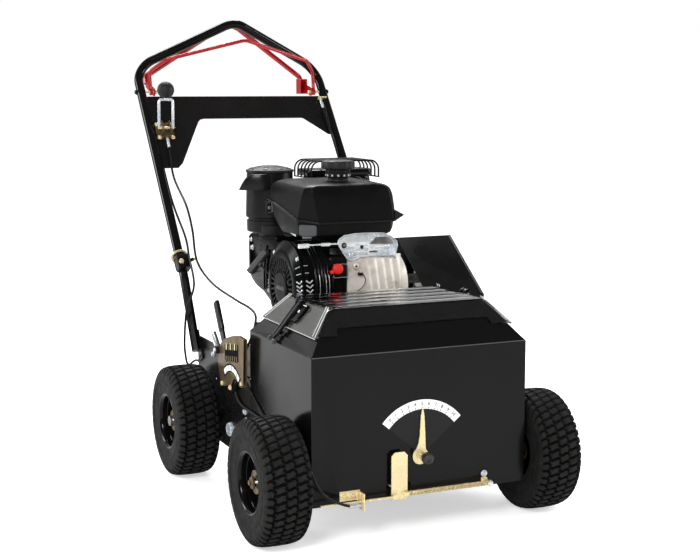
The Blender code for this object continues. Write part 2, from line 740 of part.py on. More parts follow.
def make_lid():
    inner_top = HOPPER_TOP_Z + SEAT
    outer = hull(lid_form(LID_SLOPE_GAP + LID_WALL, inner_top + LID_WALL))
    inner = lid_form(LID_SLOPE_GAP, inner_top)
    inner += [(x, y, LID_SKIRT_Z - 0.01) for x, y, z in inner if z < LID_SKIRT_Z + 0.001]
    depth = HOPPER_TOP_BACK_Y - HOPPER_TOP_FRONT_Y
    ribs = []
    for index in range(LID_RIB_COUNT):
        y = HOPPER_TOP_FRONT_Y + depth * (index + 0.5) / LID_RIB_COUNT
        ribs.append(box_x((-LID_RIB_HALF_LENGTH, LID_RIB_HALF_LENGTH), (y - 0.004, y + 0.004),
                          (inner_top + LID_WALL - 0.001, inner_top + LID_WALL + 0.0030)))
    raised = hull([(x, y, z) for x in (-1, 1) for y in (-0.080, -0.010) for z in (0.440,)
                   for x in (x * 0.1930,)]
                  + [(x * 0.1850, y, 0.4660) for x in (-1, 1) for y in (-0.080, -0.010)])
    lid = join(outer, [*ribs, *latch_base(-1), *latch_base(1)])
    cut(lid, [hull(inner), raised])
    piece("hopper_lid", lid, CLEAR_PLASTIC)


def make_latches():
    for side, word in ((-1, "right"), (1, "left")):
        pivot = Vector((side * LATCH_PIVOT[0], LATCH_Y, LATCH_PIVOT[1]))
        end = Vector((side * LATCH_BAR_AT[0], LATCH_Y, LATCH_BAR_AT[1]))
        strap = bar(pivot, end, 0.0160, 0.0055, (0, 1, 0))
        eye = rod(pivot - Vector((0, 0.008, 0)), pivot + Vector((0, 0.008, 0)), 0.0055, 12)
        bore = rod(pivot - Vector((0, 0.010, 0)), pivot + Vector((0, 0.010, 0)), 0.0028 + RUN, 10)
        cross = rod(end - Vector((0, 0.018, 0)), end + Vector((0, 0.018, 0)), LATCH_BAR_RADIUS, 10)
        latch = cut(join(strap, [eye, cross]), [bore])
        piece(f"lid_latch_{word}", latch, BLACK_RUBBER, pivot)

# Seed gate and dial

def make_gate():
    top = HOPPER_FLOOR_Z - SEAT
    low = top - GATE_THICKNESS
    left, right = GATE_ARM_X
    front, back = GATE_ARM_Y - 0.001, GATE_ARM_Y + 0.001
    plate = box_x((-GATE_HALF_WIDTH, GATE_HALF_WIDTH), (GATE_FRONT_Y, GATE_BACK_Y), (low, top))
    tongue = box_x((left, right), (front, GATE_FRONT_Y + 0.002), (low, top))
    low_z, top_z, cut_off = GATE_ARM_FOOT_Z, GATE_ARM_TOP_Z, GATE_ARM_CHAMFER
    outline = [(left, low_z), (right, low_z), (right, top_z - cut_off), (right - cut_off, top_z),
               (left + cut_off, top_z), (left, top_z - cut_off)]
    arm = flat([outline], back - front, "Y", GATE_ARM_Y)
    lug = box_x((right - 0.011, right), (SPRING_YZ[0] - 0.004, back),
                (SPRING_YZ[1] - 0.004, SPRING_YZ[1] + 0.004))
    foot = box_x((left, left + 0.012), (GATE_ROD_YZ[0] - 0.004, back),
                 (GATE_ROD_YZ[1] - 0.005, GATE_ROD_YZ[1] + 0.005))
    link = rod_x((GATE_ROD_END_X, left + 0.006), GATE_ROD_YZ, GATE_ROD_RADIUS, 10)
    join(plate, [tongue, arm, lug, foot, link])
    cut(plate, feed_holes(-GATE_TRAVEL, low - 0.01, top + 0.01))
    piece("gate_slide", plate, YELLOW_ZINC)


def make_gate_spring():
    start, end = GATE_ARM_X[1] + SEAT, SPRING_END_X
    pitch = (end - start) / (2 * SPRING_TURNS)
    half = (end - start) / 2
    radii = [SPRING_RADIUS if step % 2 else SPRING_RADIUS - 0.0016 for step in range(2 * SPRING_TURNS + 1)]
    waves = [(radius, half - step * pitch) for step, radius in enumerate(radii)]
    profile = [(0, half), *waves, (0, -half)]
    body = turned(profile, ((start + end) / 2, *SPRING_YZ), "X", 6, "gate_spring")
    piece("gate_spring", body, YELLOW_ZINC)


def make_dial():
    back = HOPPER_FRONT_Y - 0.0022
    front = back - POINTER_THICKNESS
    middle = (front + back) / 2
    pointer = [(-0.0085, DIAL_PIVOT_Z - 0.004), (0.0085, DIAL_PIVOT_Z - 0.004),
               (0.0085, DIAL_PIVOT_Z + POINTER_LENGTH - 0.012), (0, DIAL_PIVOT_Z + POINTER_LENGTH),
               (-0.0085, DIAL_PIVOT_Z + POINTER_LENGTH - 0.012)]
    cam = circle((-0.0045, DIAL_PIVOT_Z), 0.0190, 20)
    strip = flat([pointer], POINTER_THICKNESS, "Y", middle)
    disc = flat([cam], POINTER_THICKNESS, "Y", middle)
    bore = rod((0, front - 0.01, DIAL_PIVOT_Z), (0, back + 0.01, DIAL_PIVOT_Z), DIAL_SCREW_RADIUS + RUN, 12)
    piece("rate_pointer", cut(join(strip, [disc]), [bore]), YELLOW_ZINC, (0, middle, DIAL_PIVOT_Z))
    face = front - SEAT
    knob = rod((0, face - 0.031, DIAL_PIVOT_Z), (0, face - 0.017, DIAL_PIVOT_Z), DIAL_KNOB_RADIUS, 12)
    nut = rod((0, face - 0.018, DIAL_PIVOT_Z), (0, face, DIAL_PIVOT_Z), 0.0070, 12)
    screw = rod((0, face - 0.001, DIAL_PIVOT_Z), (0, HOPPER_FRONT_Y + 0.008, DIAL_PIVOT_Z),
                DIAL_SCREW_RADIUS, 12)
    piece("dial_knob", join(knob, [nut, screw]), BLACK_PLASTIC, (0, face, DIAL_PIVOT_Z))


# Chassis

def reel_slot():
    """The opening in a side plate that the reel's bearing swings in."""
    pivot = Vector((CARRIAGE_PIVOT_Y, CARRIAGE_PIVOT_Z))
    reach = Vector((REEL_Y, REEL_Z)) - pivot
    radius = BEARING_RADIUS + SLOT_MARGIN
    centres = [pivot + Matrix.Rotation(math.radians(-CARRIAGE_DROP_DEG * step / 2), 2) @ reach
               for step in range(3)]
    width = SIDE_PLATE * 3
    x = (SIDE_PLATE_X - width / 2, SIDE_PLATE_X + width / 2)
    corners = []
    for centre in centres:
        for y, z in circle(centre, radius, 16):
            corners += [(x[0], y, z), (x[1], y, z)]
    return hull(corners, "reel_slot")


def make_side_plates():
    outline = rounded([(-0.036, CHASSIS_BOTTOM_Z), (0.640, CHASSIS_BOTTOM_Z), (0.668, 0.150), (0.690, 0.300),
                       (0.680, 0.3380), (0.470, 0.3380), (0.330, 0.2900), (0.120, 0.1900),
                       (-0.036, 0.1750)], 0.012, 3)
    holes = [circle((CARRIAGE_PIVOT_Y, CARRIAGE_PIVOT_Z), 0.0080 + RUN, 12),
             circle((DEPTH_PIVOT_Y, DEPTH_PIVOT_Z), 0.0070 + RUN, 12),
             circle(IDLER_PIVOT, 0.0060 + RUN, 12)]
    for side, word in ((-1, "right"), (1, "left")):
        plate = flat([outline, *holes], SIDE_PLATE, "X", side * SIDE_PLATE_X)
        slot = reel_slot()
        if side < 0:
            slot.location.x = -2 * SIDE_PLATE_X
        bore = rod_x((side * (SIDE_PLATE_X - 0.03), side * (SIDE_PLATE_X + 0.01)), (WHEELBASE, TYRE_RADIUS),
                     REAR_SHAFT_RADIUS + RUN)
        join(plate, front_stub(side) + axle_bearing(side))
        piece(f"side_plate_{word}", cut(plate, [slot, bore]), GLOSS_BLACK)


def make_deck():
    half = HOPPER_HALF_WIDTH
    low = DECK_TOP_Z - DECK_THICKNESS
    deck = box_x((-half, half), (DECK_FRONT_Y, DECK_BACK_Y), (DECK_FLANGE_Z, DECK_TOP_Z))
    hollow = box_x((-half + 0.004, half - 0.004), (DECK_FRONT_Y + 0.004, DECK_BACK_Y - 0.004),
                   (DECK_FLANGE_Z - 0.01, low))
    belt_slot = box_x((BELT_X - 0.013, BELT_X + 0.013), (0.3450, 0.5050), (low - 0.01, DECK_TOP_Z + 0.01))
    drain = rod((-0.2000, 0.4000, low - 0.01), (-0.2000, 0.4000, DECK_TOP_Z + 0.01), 0.0060, 12)
    piece("engine_deck", cut(bevel(deck, 0.003, 1), [hollow, belt_slot, drain]), SATIN_BLACK)


# Rear axle and ground drive

def sprocket_outline(centre, radius, teeth):
    points = []
    for tooth in range(teeth):
        for step, size in ((0.00, 1.0), (0.50, 0.90)):
            angle = 2 * math.pi * (tooth + step) / teeth
            points.append((centre[0] + radius * size * math.cos(angle),
                           centre[1] + radius * size * math.sin(angle)))
    return points


def make_rear_axle():
    centre = (WHEELBASE, TYRE_RADIUS)
    end = TRACK / 2 + HUB_HALF_WIDTH + 0.006
    shaft = rod_x((-end, end), centre, REAR_SHAFT_RADIUS)
    sprocket = flat([sprocket_outline(centre, AXLE_SPROCKET_RADIUS, 18)], 0.0040, "X", CHAIN_X)
    collar = rod_x((CHAIN_X - 0.012, CHAIN_X + 0.012), centre, 0.0200)
    piece("rear_axle", join(shaft, [collar, sprocket]), BARE_STEEL, (0, *centre))


def make_ground_drive():
    y, z = DRIVE_SHAFT_AT
    gearbox = bevel(box_x((0.020, 0.108), (0.535, 0.632), (0.262, 0.340)), 0.008)
    flange = box_x((0.010, 0.112), (0.525, 0.642), (0.338, DECK_TOP_Z - DECK_THICKNESS - SEAT))
    boss = rod_x((0.100, 0.112), (y, z), 0.0200)
    bore = rod_x((0.060, 0.120), (y, z), 0.0080 + RUN, 16)
    piece("transmission", cut(join(gearbox, [flange, boss]), [bore]), CAST_ALUMINIUM)
    shaft = rod_x((0.080, 0.126), (y, z), 0.0080, 16)
    sprocket = flat([sprocket_outline((y, z), DRIVE_SPROCKET_RADIUS, 9)], 0.0040, "X", CHAIN_X)
    piece("drive_sprocket", join(shaft, [sprocket]), BARE_STEEL, (0, y, z))
    gap = 0.0010
    inner = tangent_loop((y, z), DRIVE_SPROCKET_RADIUS + gap, (WHEELBASE, TYRE_RADIUS),
                         AXLE_SPROCKET_RADIUS + gap)
    outer = tangent_loop((y, z), DRIVE_SPROCKET_RADIUS + CHAIN_DEPTH, (WHEELBASE, TYRE_RADIUS),
                         AXLE_SPROCKET_RADIUS + CHAIN_DEPTH)
    piece("drive_chain", flat([outer, inner], 0.0080, "X", CHAIN_X), BARE_STEEL)


# Slicing reel

def blade_disc(x):
    points = []
    for blade in range(REEL_BLADE_COUNT):
        start = 360 / REEL_BLADE_COUNT * blade + 3
        points += [*arc((REEL_Y, REEL_Z), REEL_RADIUS, start, start + 9, 2),
                   *arc((REEL_Y, REEL_Z), REEL_ROOT_RADIUS, start + 34, start + 34, 2)[:1]]
    return flat([points], REEL_DISC_THICKNESS, "X", x)


def make_reel():
    centre = (REEL_Y, REEL_Z)
    end = HOPPER_HALF_WIDTH - SEAT
    shaft = rod_x((-end, end), centre, REEL_SHAFT_RADIUS)
    core = rod_x((REEL_DISC_FIRST_X - 0.0085, 0.0085 - REEL_DISC_FIRST_X), centre, 0.0250, 12)
    discs = [blade_disc(REEL_DISC_FIRST_X + index * REEL_DISC_PITCH) for index in range(REEL_DISC_COUNT)]
    piece("slicing_reel", join(shaft, [core, *discs]), BARE_STEEL, (0, *centre))
    piece("reel_pulley", pulley(centre, REEL_PULLEY_RADIUS, REEL_SHAFT_RADIUS + RUN, 20), SATIN_BLACK)


def make_carriage():
    pivot = (CARRIAGE_PIVOT_Y, CARRIAGE_PIVOT_Z)
    centre = (REEL_Y, REEL_Z)
    outline = tangent_loop(pivot, 0.0200, centre, 0.0270, 8)
    hole = circle(centre, REEL_SHAFT_RADIUS + 0.0010, 16)
    arms = [flat([outline, hole], CARRIAGE_ARM_THICKNESS, "X", side * CARRIAGE_ARM_X) for side in (-1, 1)]
    cross = rod_x((-CARRIAGE_ARM_X, CARRIAGE_ARM_X), pivot, 0.0110, 16)
    pins = rod_x((-SIDE_PLATE_X - 0.002, SIDE_PLATE_X + 0.002), pivot, 0.0080, 12)
    piece("reel_carriage", join(cross, [*arms, pins]), SATIN_BLACK, (0, *pivot))
    inner = CARRIAGE_ARM_X + CARRIAGE_ARM_THICKNESS / 2 + SEAT

    for side, word in ((-1, "right"), (1, "left")):
        body = rod_x((side * inner, side * (SIDE_PLATE_X + 0.0105)), centre, BEARING_RADIUS, 24)
        bore = rod_x((side * (inner - 0.01), side * HOPPER_HALF_WIDTH), centre, REEL_SHAFT_RADIUS + RUN)
        piece(f"reel_bearing_{word}", cut(body, [bore]), BRIGHT_ZINC, (0, *pivot))


# Depth control

def make_depth_control():
    pivot = (DEPTH_PIVOT_Y, DEPTH_PIVOT_Z)
    face = SIDE_PLATE_X + SIDE_PLATE / 2 + SEAT
    inner_x = -(face + QUADRANT_PLATE / 2)
    lever_x = inner_x - QUADRANT_PLATE / 2 - 0.0055
    outer_x = lever_x - 0.0055 - QUADRANT_PLATE / 2
    outline = rounded([(0.300, 0.2750), (0.330, 0.2400), (0.415, 0.2400), (0.445, 0.2620),
                       (0.437, 0.355, 0.03), (0.400, 0.3950, 0.02), (0.330, 0.3950, 0.03),
                       (0.298, 0.365)], 0.010, 3)
    scale_slot = arc(pivot, 0.062, 60, 118, 5) + arc(pivot, 0.046, 118, 60, 5)
    notches = []
    for step in range(5):
        angle = math.radians(74 + 10 * step)
        out = Vector((math.cos(angle), math.sin(angle)))
        side = Vector((-out.y, out.x)) * 0.0026
        centre = Vector(pivot)
        notches.append([tuple(centre + out * 0.082 - side), tuple(centre + out * 0.112 - side),
                        tuple(centre + out * 0.112 + side), tuple(centre + out * 0.082 + side)])
    bore = circle(pivot, 0.0070 + RUN, 12)
    inner = flat([outline, bore], QUADRANT_PLATE, "X", inner_x)
    outer = flat([outline, bore, scale_slot, *notches], QUADRANT_PLATE, "X", outer_x)
    spacers = [rod_x((outer_x, inner_x), at, 0.0060, 10) for at in ((0.318, 0.262), (0.432, 0.272))]
    bolts = [rod_x((outer_x - 0.008, outer_x), at, 0.0065, 6) for at in ((0.318, 0.262), (0.432, 0.272))]
    piece("depth_quadrant", join(outer, [inner, *spacers, *bolts]), YELLOW_ZINC)

    lean = math.radians(DEPTH_LEVER_LEAN_DEG)
    up = Vector((0, math.sin(lean), math.cos(lean)))
    foot = Vector((lever_x, *pivot))
    blade = bar(foot - up * 0.012, foot + up * 0.155, 0.0060, 0.0220)
    grip = bar(foot + up * 0.146, foot + up * DEPTH_LEVER_LENGTH, 0.0120, 0.0240)
    bevel(grip, 0.005)
    pin = rod_x((lever_x - 0.006, -(SIDE_PLATE_X - SIDE_PLATE / 2)), pivot, 0.0070, 12)
    back = Vector((0, math.cos(lean), -math.sin(lean)))
    block_at = foot + up * 0.098 + back * 0.0330
    block = bar(block_at - up * 0.015, block_at + up * 0.015, 0.0096, 0.0260)
    neck = bar(foot + up * 0.098, block_at, 0.0050, 0.0120)
    release_end = block_at + Vector((0, 0.056, 0.047))
    release = rod(block_at, release_end, 0.0035, 10)
    piece("depth_lever", join(blade, [grip, pin, block, neck, release]), BLACK_PLASTIC, foot)


# Belt drive

def pulley(at, radius, bore, steps):
    half = PULLEY_WIDTH / 2
    groove = BELT_WIDTH / 2 + SEAT
    root = radius - BELT_DEPTH - 2 * SEAT
    loop = [(radius, half), (radius, groove), (root, groove), (root, -groove), (radius, -groove),
            (radius, -half), (bore, -half), (bore, half)]
    return turned(loop, (BELT_X, *at), "X", steps, "pulley")


def make_belt_drive():
    crank = (CRANK_Y, CRANK_Z)
    reel = (REEL_Y, REEL_Z)
    shaft = rod_x((PTO_FACE_X + SEAT, BELT_X + PULLEY_WIDTH / 2 + 0.004), crank, CRANKSHAFT_RADIUS)
    wheel = pulley(crank, CRANK_PULLEY_RADIUS, CRANKSHAFT_RADIUS - 0.002, 18)
    piece("crank_pulley", join(shaft, [wheel]), BARE_STEEL, (0, *crank))
    outer = tangent_loop(crank, CRANK_PULLEY_RADIUS, reel, REEL_PULLEY_RADIUS, 12)
    inner = tangent_loop(crank, CRANK_PULLEY_RADIUS - BELT_DEPTH, reel, REEL_PULLEY_RADIUS - BELT_DEPTH, 12)
    piece("reel_belt", flat([outer, inner], BELT_WIDTH, "X", BELT_X), BLACK_RUBBER)

    arm_x = BELT_X + PULLEY_WIDTH / 2 + 0.0035
    tail = (IDLER_PIVOT[0] + 0.040, IDLER_PIVOT[1] + 0.012)
    arm = flat([tangent_loop(IDLER_PIVOT, 0.0140, IDLER_AT, 0.0110, 6)], 0.0030, "X", arm_x)
    lever = flat([tangent_loop(IDLER_PIVOT, 0.0120, tail, 0.0070, 6)], 0.0030, "X", arm_x)
    pin = rod_x((arm_x, SIDE_PLATE_X + SIDE_PLATE / 2), IDLER_PIVOT, 0.0060, 12)
    stub = rod_x((BELT_X - 0.0090, arm_x), IDLER_AT, 0.0050, 12)
    piece("idler_arm", join(arm, [lever, pin, stub]), YELLOW_ZINC, (arm_x, *IDLER_PIVOT))
    half = 0.0065
    bore = 0.0050 + RUN
    rollers = [(IDLER_RADIUS, half), (IDLER_RADIUS, -half), (bore, -half), (bore, half)]
    piece("idler_pulley", turned(rollers, (BELT_X, *IDLER_AT), "X", 20, "idler"), BLACK_PLASTIC)


def make_belt_guard():
    front = HOPPER_BACK_Y + 0.0060
    low = DECK_TOP_Z + SEAT
    slope_low = 0.4670
    top_front, top_back, top = 0.4520, 0.5400, 0.6040
    back = 0.6050
    outline = [(front, low), (front, slope_low), (top_front, top), (top_back, top), (back, 0.4600),
               (back, low)]
    solid = flat([outline], GUARD_OUTER_X - GUARD_INNER_X, "X", (GUARD_OUTER_X + GUARD_INNER_X) / 2)
    wall = GUARD_WALL
    space = [(front + wall, low - 0.01), (front + wall, slope_low - 0.001), (top_front + 0.001, top - wall),
             (top_back - 0.001, top - wall), (back - wall, 0.4590), (back - wall, low - 0.01)]
    hollow = flat([space], GUARD_OUTER_X - GUARD_INNER_X, "X", (GUARD_OUTER_X + GUARD_INNER_X) / 2 - wall)
    piece("belt_guard", cut(solid, [hollow]), SATIN_BLACK)


# Engine

def make_crankcase():
    block = bevel(box_x(CASE_X, CASE_Y, (DECK_TOP_Z + SEAT, CASE_TOP_Z)), 0.010)
    base = box_x((CASE_X[0], 0.156), (CASE_Y[0] - 0.006, CASE_Y[1] + 0.025),
                 (DECK_TOP_Z + SEAT, DECK_TOP_Z + 0.012))
    cover = rod_x((CASE_X[1] - 0.005, PTO_FACE_X), (CRANK_Y, CRANK_Z - 0.005), 0.0740, 24)
    bore = rod_x((CASE_X[1] - 0.02, PTO_FACE_X + 0.02), (CRANK_Y, CRANK_Z), CRANKSHAFT_RADIUS + 0.001)
    fins = [box_x((x, x + 0.005), (CASE_Y[0] - 0.006, CASE_Y[0] + 0.02), (0.4350, 0.5530))
            for x in (0.0200, 0.0450, 0.0700, 0.0950, 0.1200)]
    lean = math.radians(24)
    axis = Vector((0, math.cos(lean), math.sin(lean)))
    start = Vector((0.0620, 0.4550, 0.5000))
    barrel = bar(start, start + axis * 0.1080, 0.090, 0.110)
    plates = [bar(start + axis * (0.030 + 0.012 * step), start + axis * (0.034 + 0.012 * step), 0.116, 0.134)
              for step in range(6)]
    posts = [box_x((x - 0.012, x + 0.012), (0.3800, 0.4300), (CASE_TOP_Z - 0.02, TANK_FLOOR_Z - SEAT))
             for x in (-0.0350, 0.0900)]
    x, z = STOP_AT
    stem_bore = rod((x, STOP_FRONT_Y - 0.01, z), (x, STOP_FRONT_Y + 0.010, z), 0.0040 + RUN, 10)
    join(block, [base, cover, *fins, barrel, *plates, *posts, stop_switch()])
    piece("crankcase", cut(block, [bore, stem_bore]), CAST_ALUMINIUM)

    tip = start + axis * (0.1080 + SEAT)
    head = bevel(bar(tip, tip + axis * 0.034, 0.112, 0.128), 0.004, 1)
    ribs = [bar(tip + axis * 0.006 + Vector((x, 0, 0)), tip + axis * 0.040 + Vector((x, 0, 0)), 0.003, 0.118)
            for x in (-0.040, -0.028, 0.028, 0.040)]
    cover = bevel(bar(tip + axis * 0.030, tip + axis * 0.056, 0.046, 0.100), 0.006)
    ribs += carburettor()
    knee = Vector((MUFFLER_AT[0], MUFFLER_AT[1] - 0.012, 0.6000))
    port = rod(knee, (knee.x, knee.y, MUFFLER_AT[2] - 0.0445 - SEAT), 0.0140, 12)
    bend = rod((knee.x, 0.5720, 0.5650), knee + Vector((0, 0, 0.006)), 0.0130, 12)
    piece("cylinder_head", join(head, [*ribs, cover, port, bend]), CAST_ALUMINIUM)


def carburettor():
    """The carburettor beside the cylinder, under the air cleaner."""
    x = BLOWER_X[1] + SEAT + 0.0010
    body = bevel(box_x((x, -0.0120), (0.5990, 0.6450), (0.5450, 0.6050)), 0.004, 1)
    intake = rod((-0.0350, CANISTER_AT[1], 0.6000), (-0.0350, CANISTER_AT[1], 0.6060), 0.0120, 14)
    flange = box_x((-0.0140, 0.0200), (0.5700, 0.6200), (0.5500, 0.5900))
    return [body, intake, flange]


def rope_point(back):
    """A point on the starter rope's line, counted back from the grip."""
    return Vector(GRIP_AT) - Vector(GRIP_PULL) * back


def make_blower():
    centre = (CRANK_Y, CRANK_Z)
    outline = (arc(centre, BLOWER_RADIUS, 95, 300, 16)
               + [(0.5200, 0.4080), (0.6100, 0.4480), (BLOWER_BACK_Y - 0.012, 0.4900),
                  (BLOWER_BACK_Y, 0.5200), (BLOWER_BACK_Y, 0.5850), (BLOWER_BACK_Y - 0.015, 0.6000),
                  (0.5600, 0.6000), (0.4600, 0.6120)])
    volute = flat([outline], BLOWER_X[1] - BLOWER_X[0], "X", (BLOWER_X[0] + BLOWER_X[1]) / 2)
    rope = rod(rope_point(0.20), rope_point(0.0), 0.0026, 8)
    piece("blower_housing", cut(bevel(volute, 0.007, 2, 50), [rope]), SATIN_BLACK)

    base_x = BLOWER_X[0] - SEAT
    depth = base_x - RECOIL_FACE_X
    middle = (base_x + RECOIL_FACE_X) / 2
    profile = [(0.0, depth / 2), (RECOIL_RADIUS, depth / 2), (RECOIL_RADIUS, depth / 2 - 0.006),
               (RECOIL_RADIUS - 0.010, -depth / 2 + 0.006), (0.0430, -depth / 2 + 0.002),
               (0.0380, -depth / 2), (0.0, -depth / 2)]
    cover = turned(profile, (middle, *centre), "X", 24, "recoil")
    slots = []
    for index in range(9):
        turn = 2 * math.pi * index / 9
        out = Vector((0, math.cos(turn), math.sin(turn)))
        start = Vector((RECOIL_FACE_X, *centre)) + out * 0.052
        slots.append(bar(start, start + out * 0.036, 0.020, 0.0085))
    boss = rod(rope_point(0.075), rope_point(0.0125), 0.0080, 12)
    piece("recoil_cover", cut(join(cover, [boss]), [*slots, rope]), BLACK_PLASTIC)


def make_starter_grip():
    along = Vector(GRIP_ALONG) * 0.035
    centre = Vector(GRIP_AT)
    grip = rod(centre - along, centre + along, 0.0085, 10)
    rope = rod(rope_point(0.1750), rope_point(0.0), 0.0020, 8)
    neck = rod(rope_point(0.0122), rope_point(0.0), 0.0065, 10)
    piece("starter_grip", join(grip, [neck, rope]), BLACK_PLASTIC, centre)


def octagon(x, y, chamfer, heights):
    """Eight corners of a rectangle with cut corners, on a level that may slope from front to back."""
    rise = (heights[1] - heights[0]) / (y[1] - y[0])
    corners = []
    for cx, sx in ((x[0], 1), (x[1], -1)):
        for cy, sy in ((y[0], 1), (y[1], -1)):
            corners += [(cx + sx * chamfer, cy), (cx, cy + sy * chamfer)]
    return [(px, py, heights[0] + rise * (py - y[0])) for px, py in corners]


def shrink(span, low, high):
    return span[0] + low, span[1] - high


def make_tank():
    seam = (0.6570, 0.7040)
    middle = octagon(TANK_X, TANK_Y, 0.026, seam)
    shoulder = octagon(shrink(TANK_X, 0.006, 0.014), shrink(TANK_Y, 0.003, 0.014), 0.020,
                       (TANK_TOP_Z - 0.0120, TANK_TOP_Z - 0.0080))
    crown = octagon(shrink(TANK_X, 0.022, 0.036), shrink(TANK_Y, 0.010, 0.034), 0.018,
                    (TANK_TOP_Z + 0.0020, TANK_TOP_Z + 0.0060))
    upper = hull(middle + shoulder + crown)
    lower = hull(octagon(TANK_X, TANK_Y, 0.026, (seam[0] + 0.001, seam[1] + 0.001))
                 + octagon(shrink(TANK_X, 0.003, 0.010), shrink(TANK_Y, 0.008, 0.080), 0.024,
                           (TANK_FLOOR_Z, TANK_FLOOR_Z)))
    flange_x, flange_y = shrink(TANK_X, -0.005, -0.009), shrink(TANK_Y, -0.004, -0.004)
    flange = hull(octagon(flange_x, flange_y, 0.028, (seam[0] - 0.002, seam[1] - 0.002))
                  + octagon(flange_x, flange_y, 0.028, (seam[0] + 0.002, seam[1] + 0.002)))
    neck = rod((*CAP_AT, TANK_TOP_Z - 0.01), (*CAP_AT, 0.7700), 0.0300, 20)
    tank = join(bevel(upper, 0.006, 2, 20), [bevel(lower, 0.004, 1, 20), flange, neck])
    piece("fuel_tank", tank, GLOSS_BLACK)
    face = 0.7700 + SEAT
    profile = [(0.0, 0.0300), (CAP_RADIUS - 0.006, 0.0300), (CAP_RADIUS, 0.0250), (CAP_RADIUS, 0.0060),
               (CAP_RADIUS - 0.003, 0.0), (0.0, 0.0)]
    cap = turned(profile, (*CAP_AT, face), "Z", 20, "fuel_cap")
    grips = []
    for index in range(10):
        turn = 2 * math.pi * index / 10
        at = Vector((*CAP_AT, face)) + Vector((math.cos(turn), math.sin(turn), 0)) * (CAP_RADIUS + 0.0015)
        grips.append(rod(at - Vector((0, 0, 0.01)), at + Vector((0, 0, 0.04)), 0.0045, 6))
    piece("fuel_cap", cut(cap, grips), BLACK_PLASTIC)


def make_air_cleaner():
    x, y = CANISTER_AT
    profile = [(0.0, 0.781), (0.0300, 0.7790), (0.0540, 0.7740), (0.0600, 0.7680), (0.0600, 0.7640),
               (CANISTER_RADIUS, 0.7640), (CANISTER_RADIUS - 0.002, 0.6560), (0.0570, 0.6520),
               (0.0570, 0.6450), (0.0500, 0.6400), (0.0500, 0.6180), (0.0345, 0.6130), (0.0345, 0.6090),
               (0.0, 0.6090)]
    body = turned(profile, (x, y, 0), "Z", 18, "air_cleaner")
    side = [(x - 0.0410, 0.7180), (x - 0.0410, 0.7600), (x - 0.0760, 0.7600), (x - 0.0880, 0.7520),
            (x - 0.0960, 0.7380), (x - 0.1000, 0.7180)]
    hood = flat([side], 0.0920, "Y", y - 0.0160)
    mouth = box((x - 0.0900, y - 0.0480, 0.700), (x - 0.0660, y + 0.0180, 0.744))
    foot = box_x((BLOWER_X[0] + 0.012, BLOWER_X[1] - 0.004), (y - 0.028, y + 0.028), (0.6000 + SEAT, 0.6120))
    join(body, [bevel(hood, 0.004, 2, 30), foot])
    piece("air_cleaner", cut(body, [mouth]), BLACK_PLASTIC)


def make_governor():
    back = CASE_Y[0] - 0.006 - SEAT
    front = back - 0.003
    outline = rounded([(-0.0370, 0.6070), (-0.0080, 0.5630), (0.0050, 0.5620), (0.0220, 0.5710),
                       (0.1170, 0.5680), (0.1240, 0.6000), (0.0860, 0.6275), (-0.0220, 0.6275)], 0.006, 3)
    holes = [circle((-0.0190, 0.6010), 0.0055, 10), circle((0.0280, 0.5950), 0.0040, 10),
             circle((0.0940, 0.5900), 0.0030, 10), circle((0.0000, 0.5760), 0.0030, 10)]
    plate = flat([outline, *holes], back - front, "Y", (front + back) / 2)
    ledge = box_x((0.0450, 0.1150), (front - 0.0060, back), (0.5980, 0.6005))
    tabs = [box_x((x, x + 0.010), (front, CASE_Y[0] - SEAT), (0.5600, 0.5720)) for x in (0.0050, 0.0980)]
    piece("governor_plate", join(plate, [ledge, *tabs]), BRIGHT_ZINC)


def stop_switch():
    """The engine switch's box on the front of the crankcase."""
    x, z = STOP_AT
    box = box_x((CASE_X[0] + 0.0004, x + 0.028), (STOP_FRONT_Y, CASE_Y[0] + 0.002), (z - 0.022, z + 0.010))
    return bevel(box, 0.003, 1)


def make_stop_knob():
    x, z = STOP_AT
    face = STOP_FRONT_Y - SEAT
    knob = rod((x, face - 0.0120, z), (x, face, z), 0.0145, 16)
    tab = box_x((x - 0.0200, x), (face - 0.0080, face), (z - 0.0060, z))
    stem = rod((x, face - 0.001, z), (x, face + 0.009, z), 0.0040, 10)
    piece("stop_knob", join(knob, [tab, stem]), RED_PLASTIC, (x, face, z))


def make_muffler():
    x, y, z = MUFFLER_AT
    body = bevel(box((x - 0.082, y - 0.048, z - 0.0445), (x + 0.082, y + 0.048, z + 0.0445)), 0.022, 3)
    pipe = rod((x + 0.050, y + 0.030, z), (x + 0.050, y + 0.066, z), 0.0120, 14)
    bore = rod((x + 0.050, y + 0.035, z), (x + 0.050, y + 0.080, z), 0.0100, 14)
    piece("muffler", cut(join(body, [pipe]), [bore]), SATIN_BLACK)
    low, high = z + 0.0300, z + 0.0730
    half = 0.0950
    wires = []
    for index in range(4):
        wire_y = y - 0.054 + 0.036 * index
        path = bent([(x - half, wire_y, low), (x - half, wire_y, high), (x + half, wire_y, high),
                     (x + half, wire_y, low)], (0.016, 0.016), 3)
        wires.append(tube(path, 0.0019, 1))
    rails = [tube([(x + side * half, y - 0.060, low), (x + side * half, y + 0.060, low)], 0.0020, 1)
             for side in (-1, 1)]
    cross = tube([(x, y - 0.060, high), (x, y + 0.060, high)], 0.0020, 1)
    feet = []
    for side in (-1, 1):
        seat = x + side * (0.0820 + SEAT)
        depth = (y - 0.006, y + 0.006)
        feet.append(box_x(sorted((seat, x + side * half)), depth, (low - 0.002, low + 0.002)))
        feet.append(box_x(sorted((seat, seat + side * 0.002)), depth, (z - 0.006, low + 0.002)))
    piece("muffler_guard", join(wires[0], [*wires[1:], *rails, cross, *feet]), BARE_STEEL)


# Handle

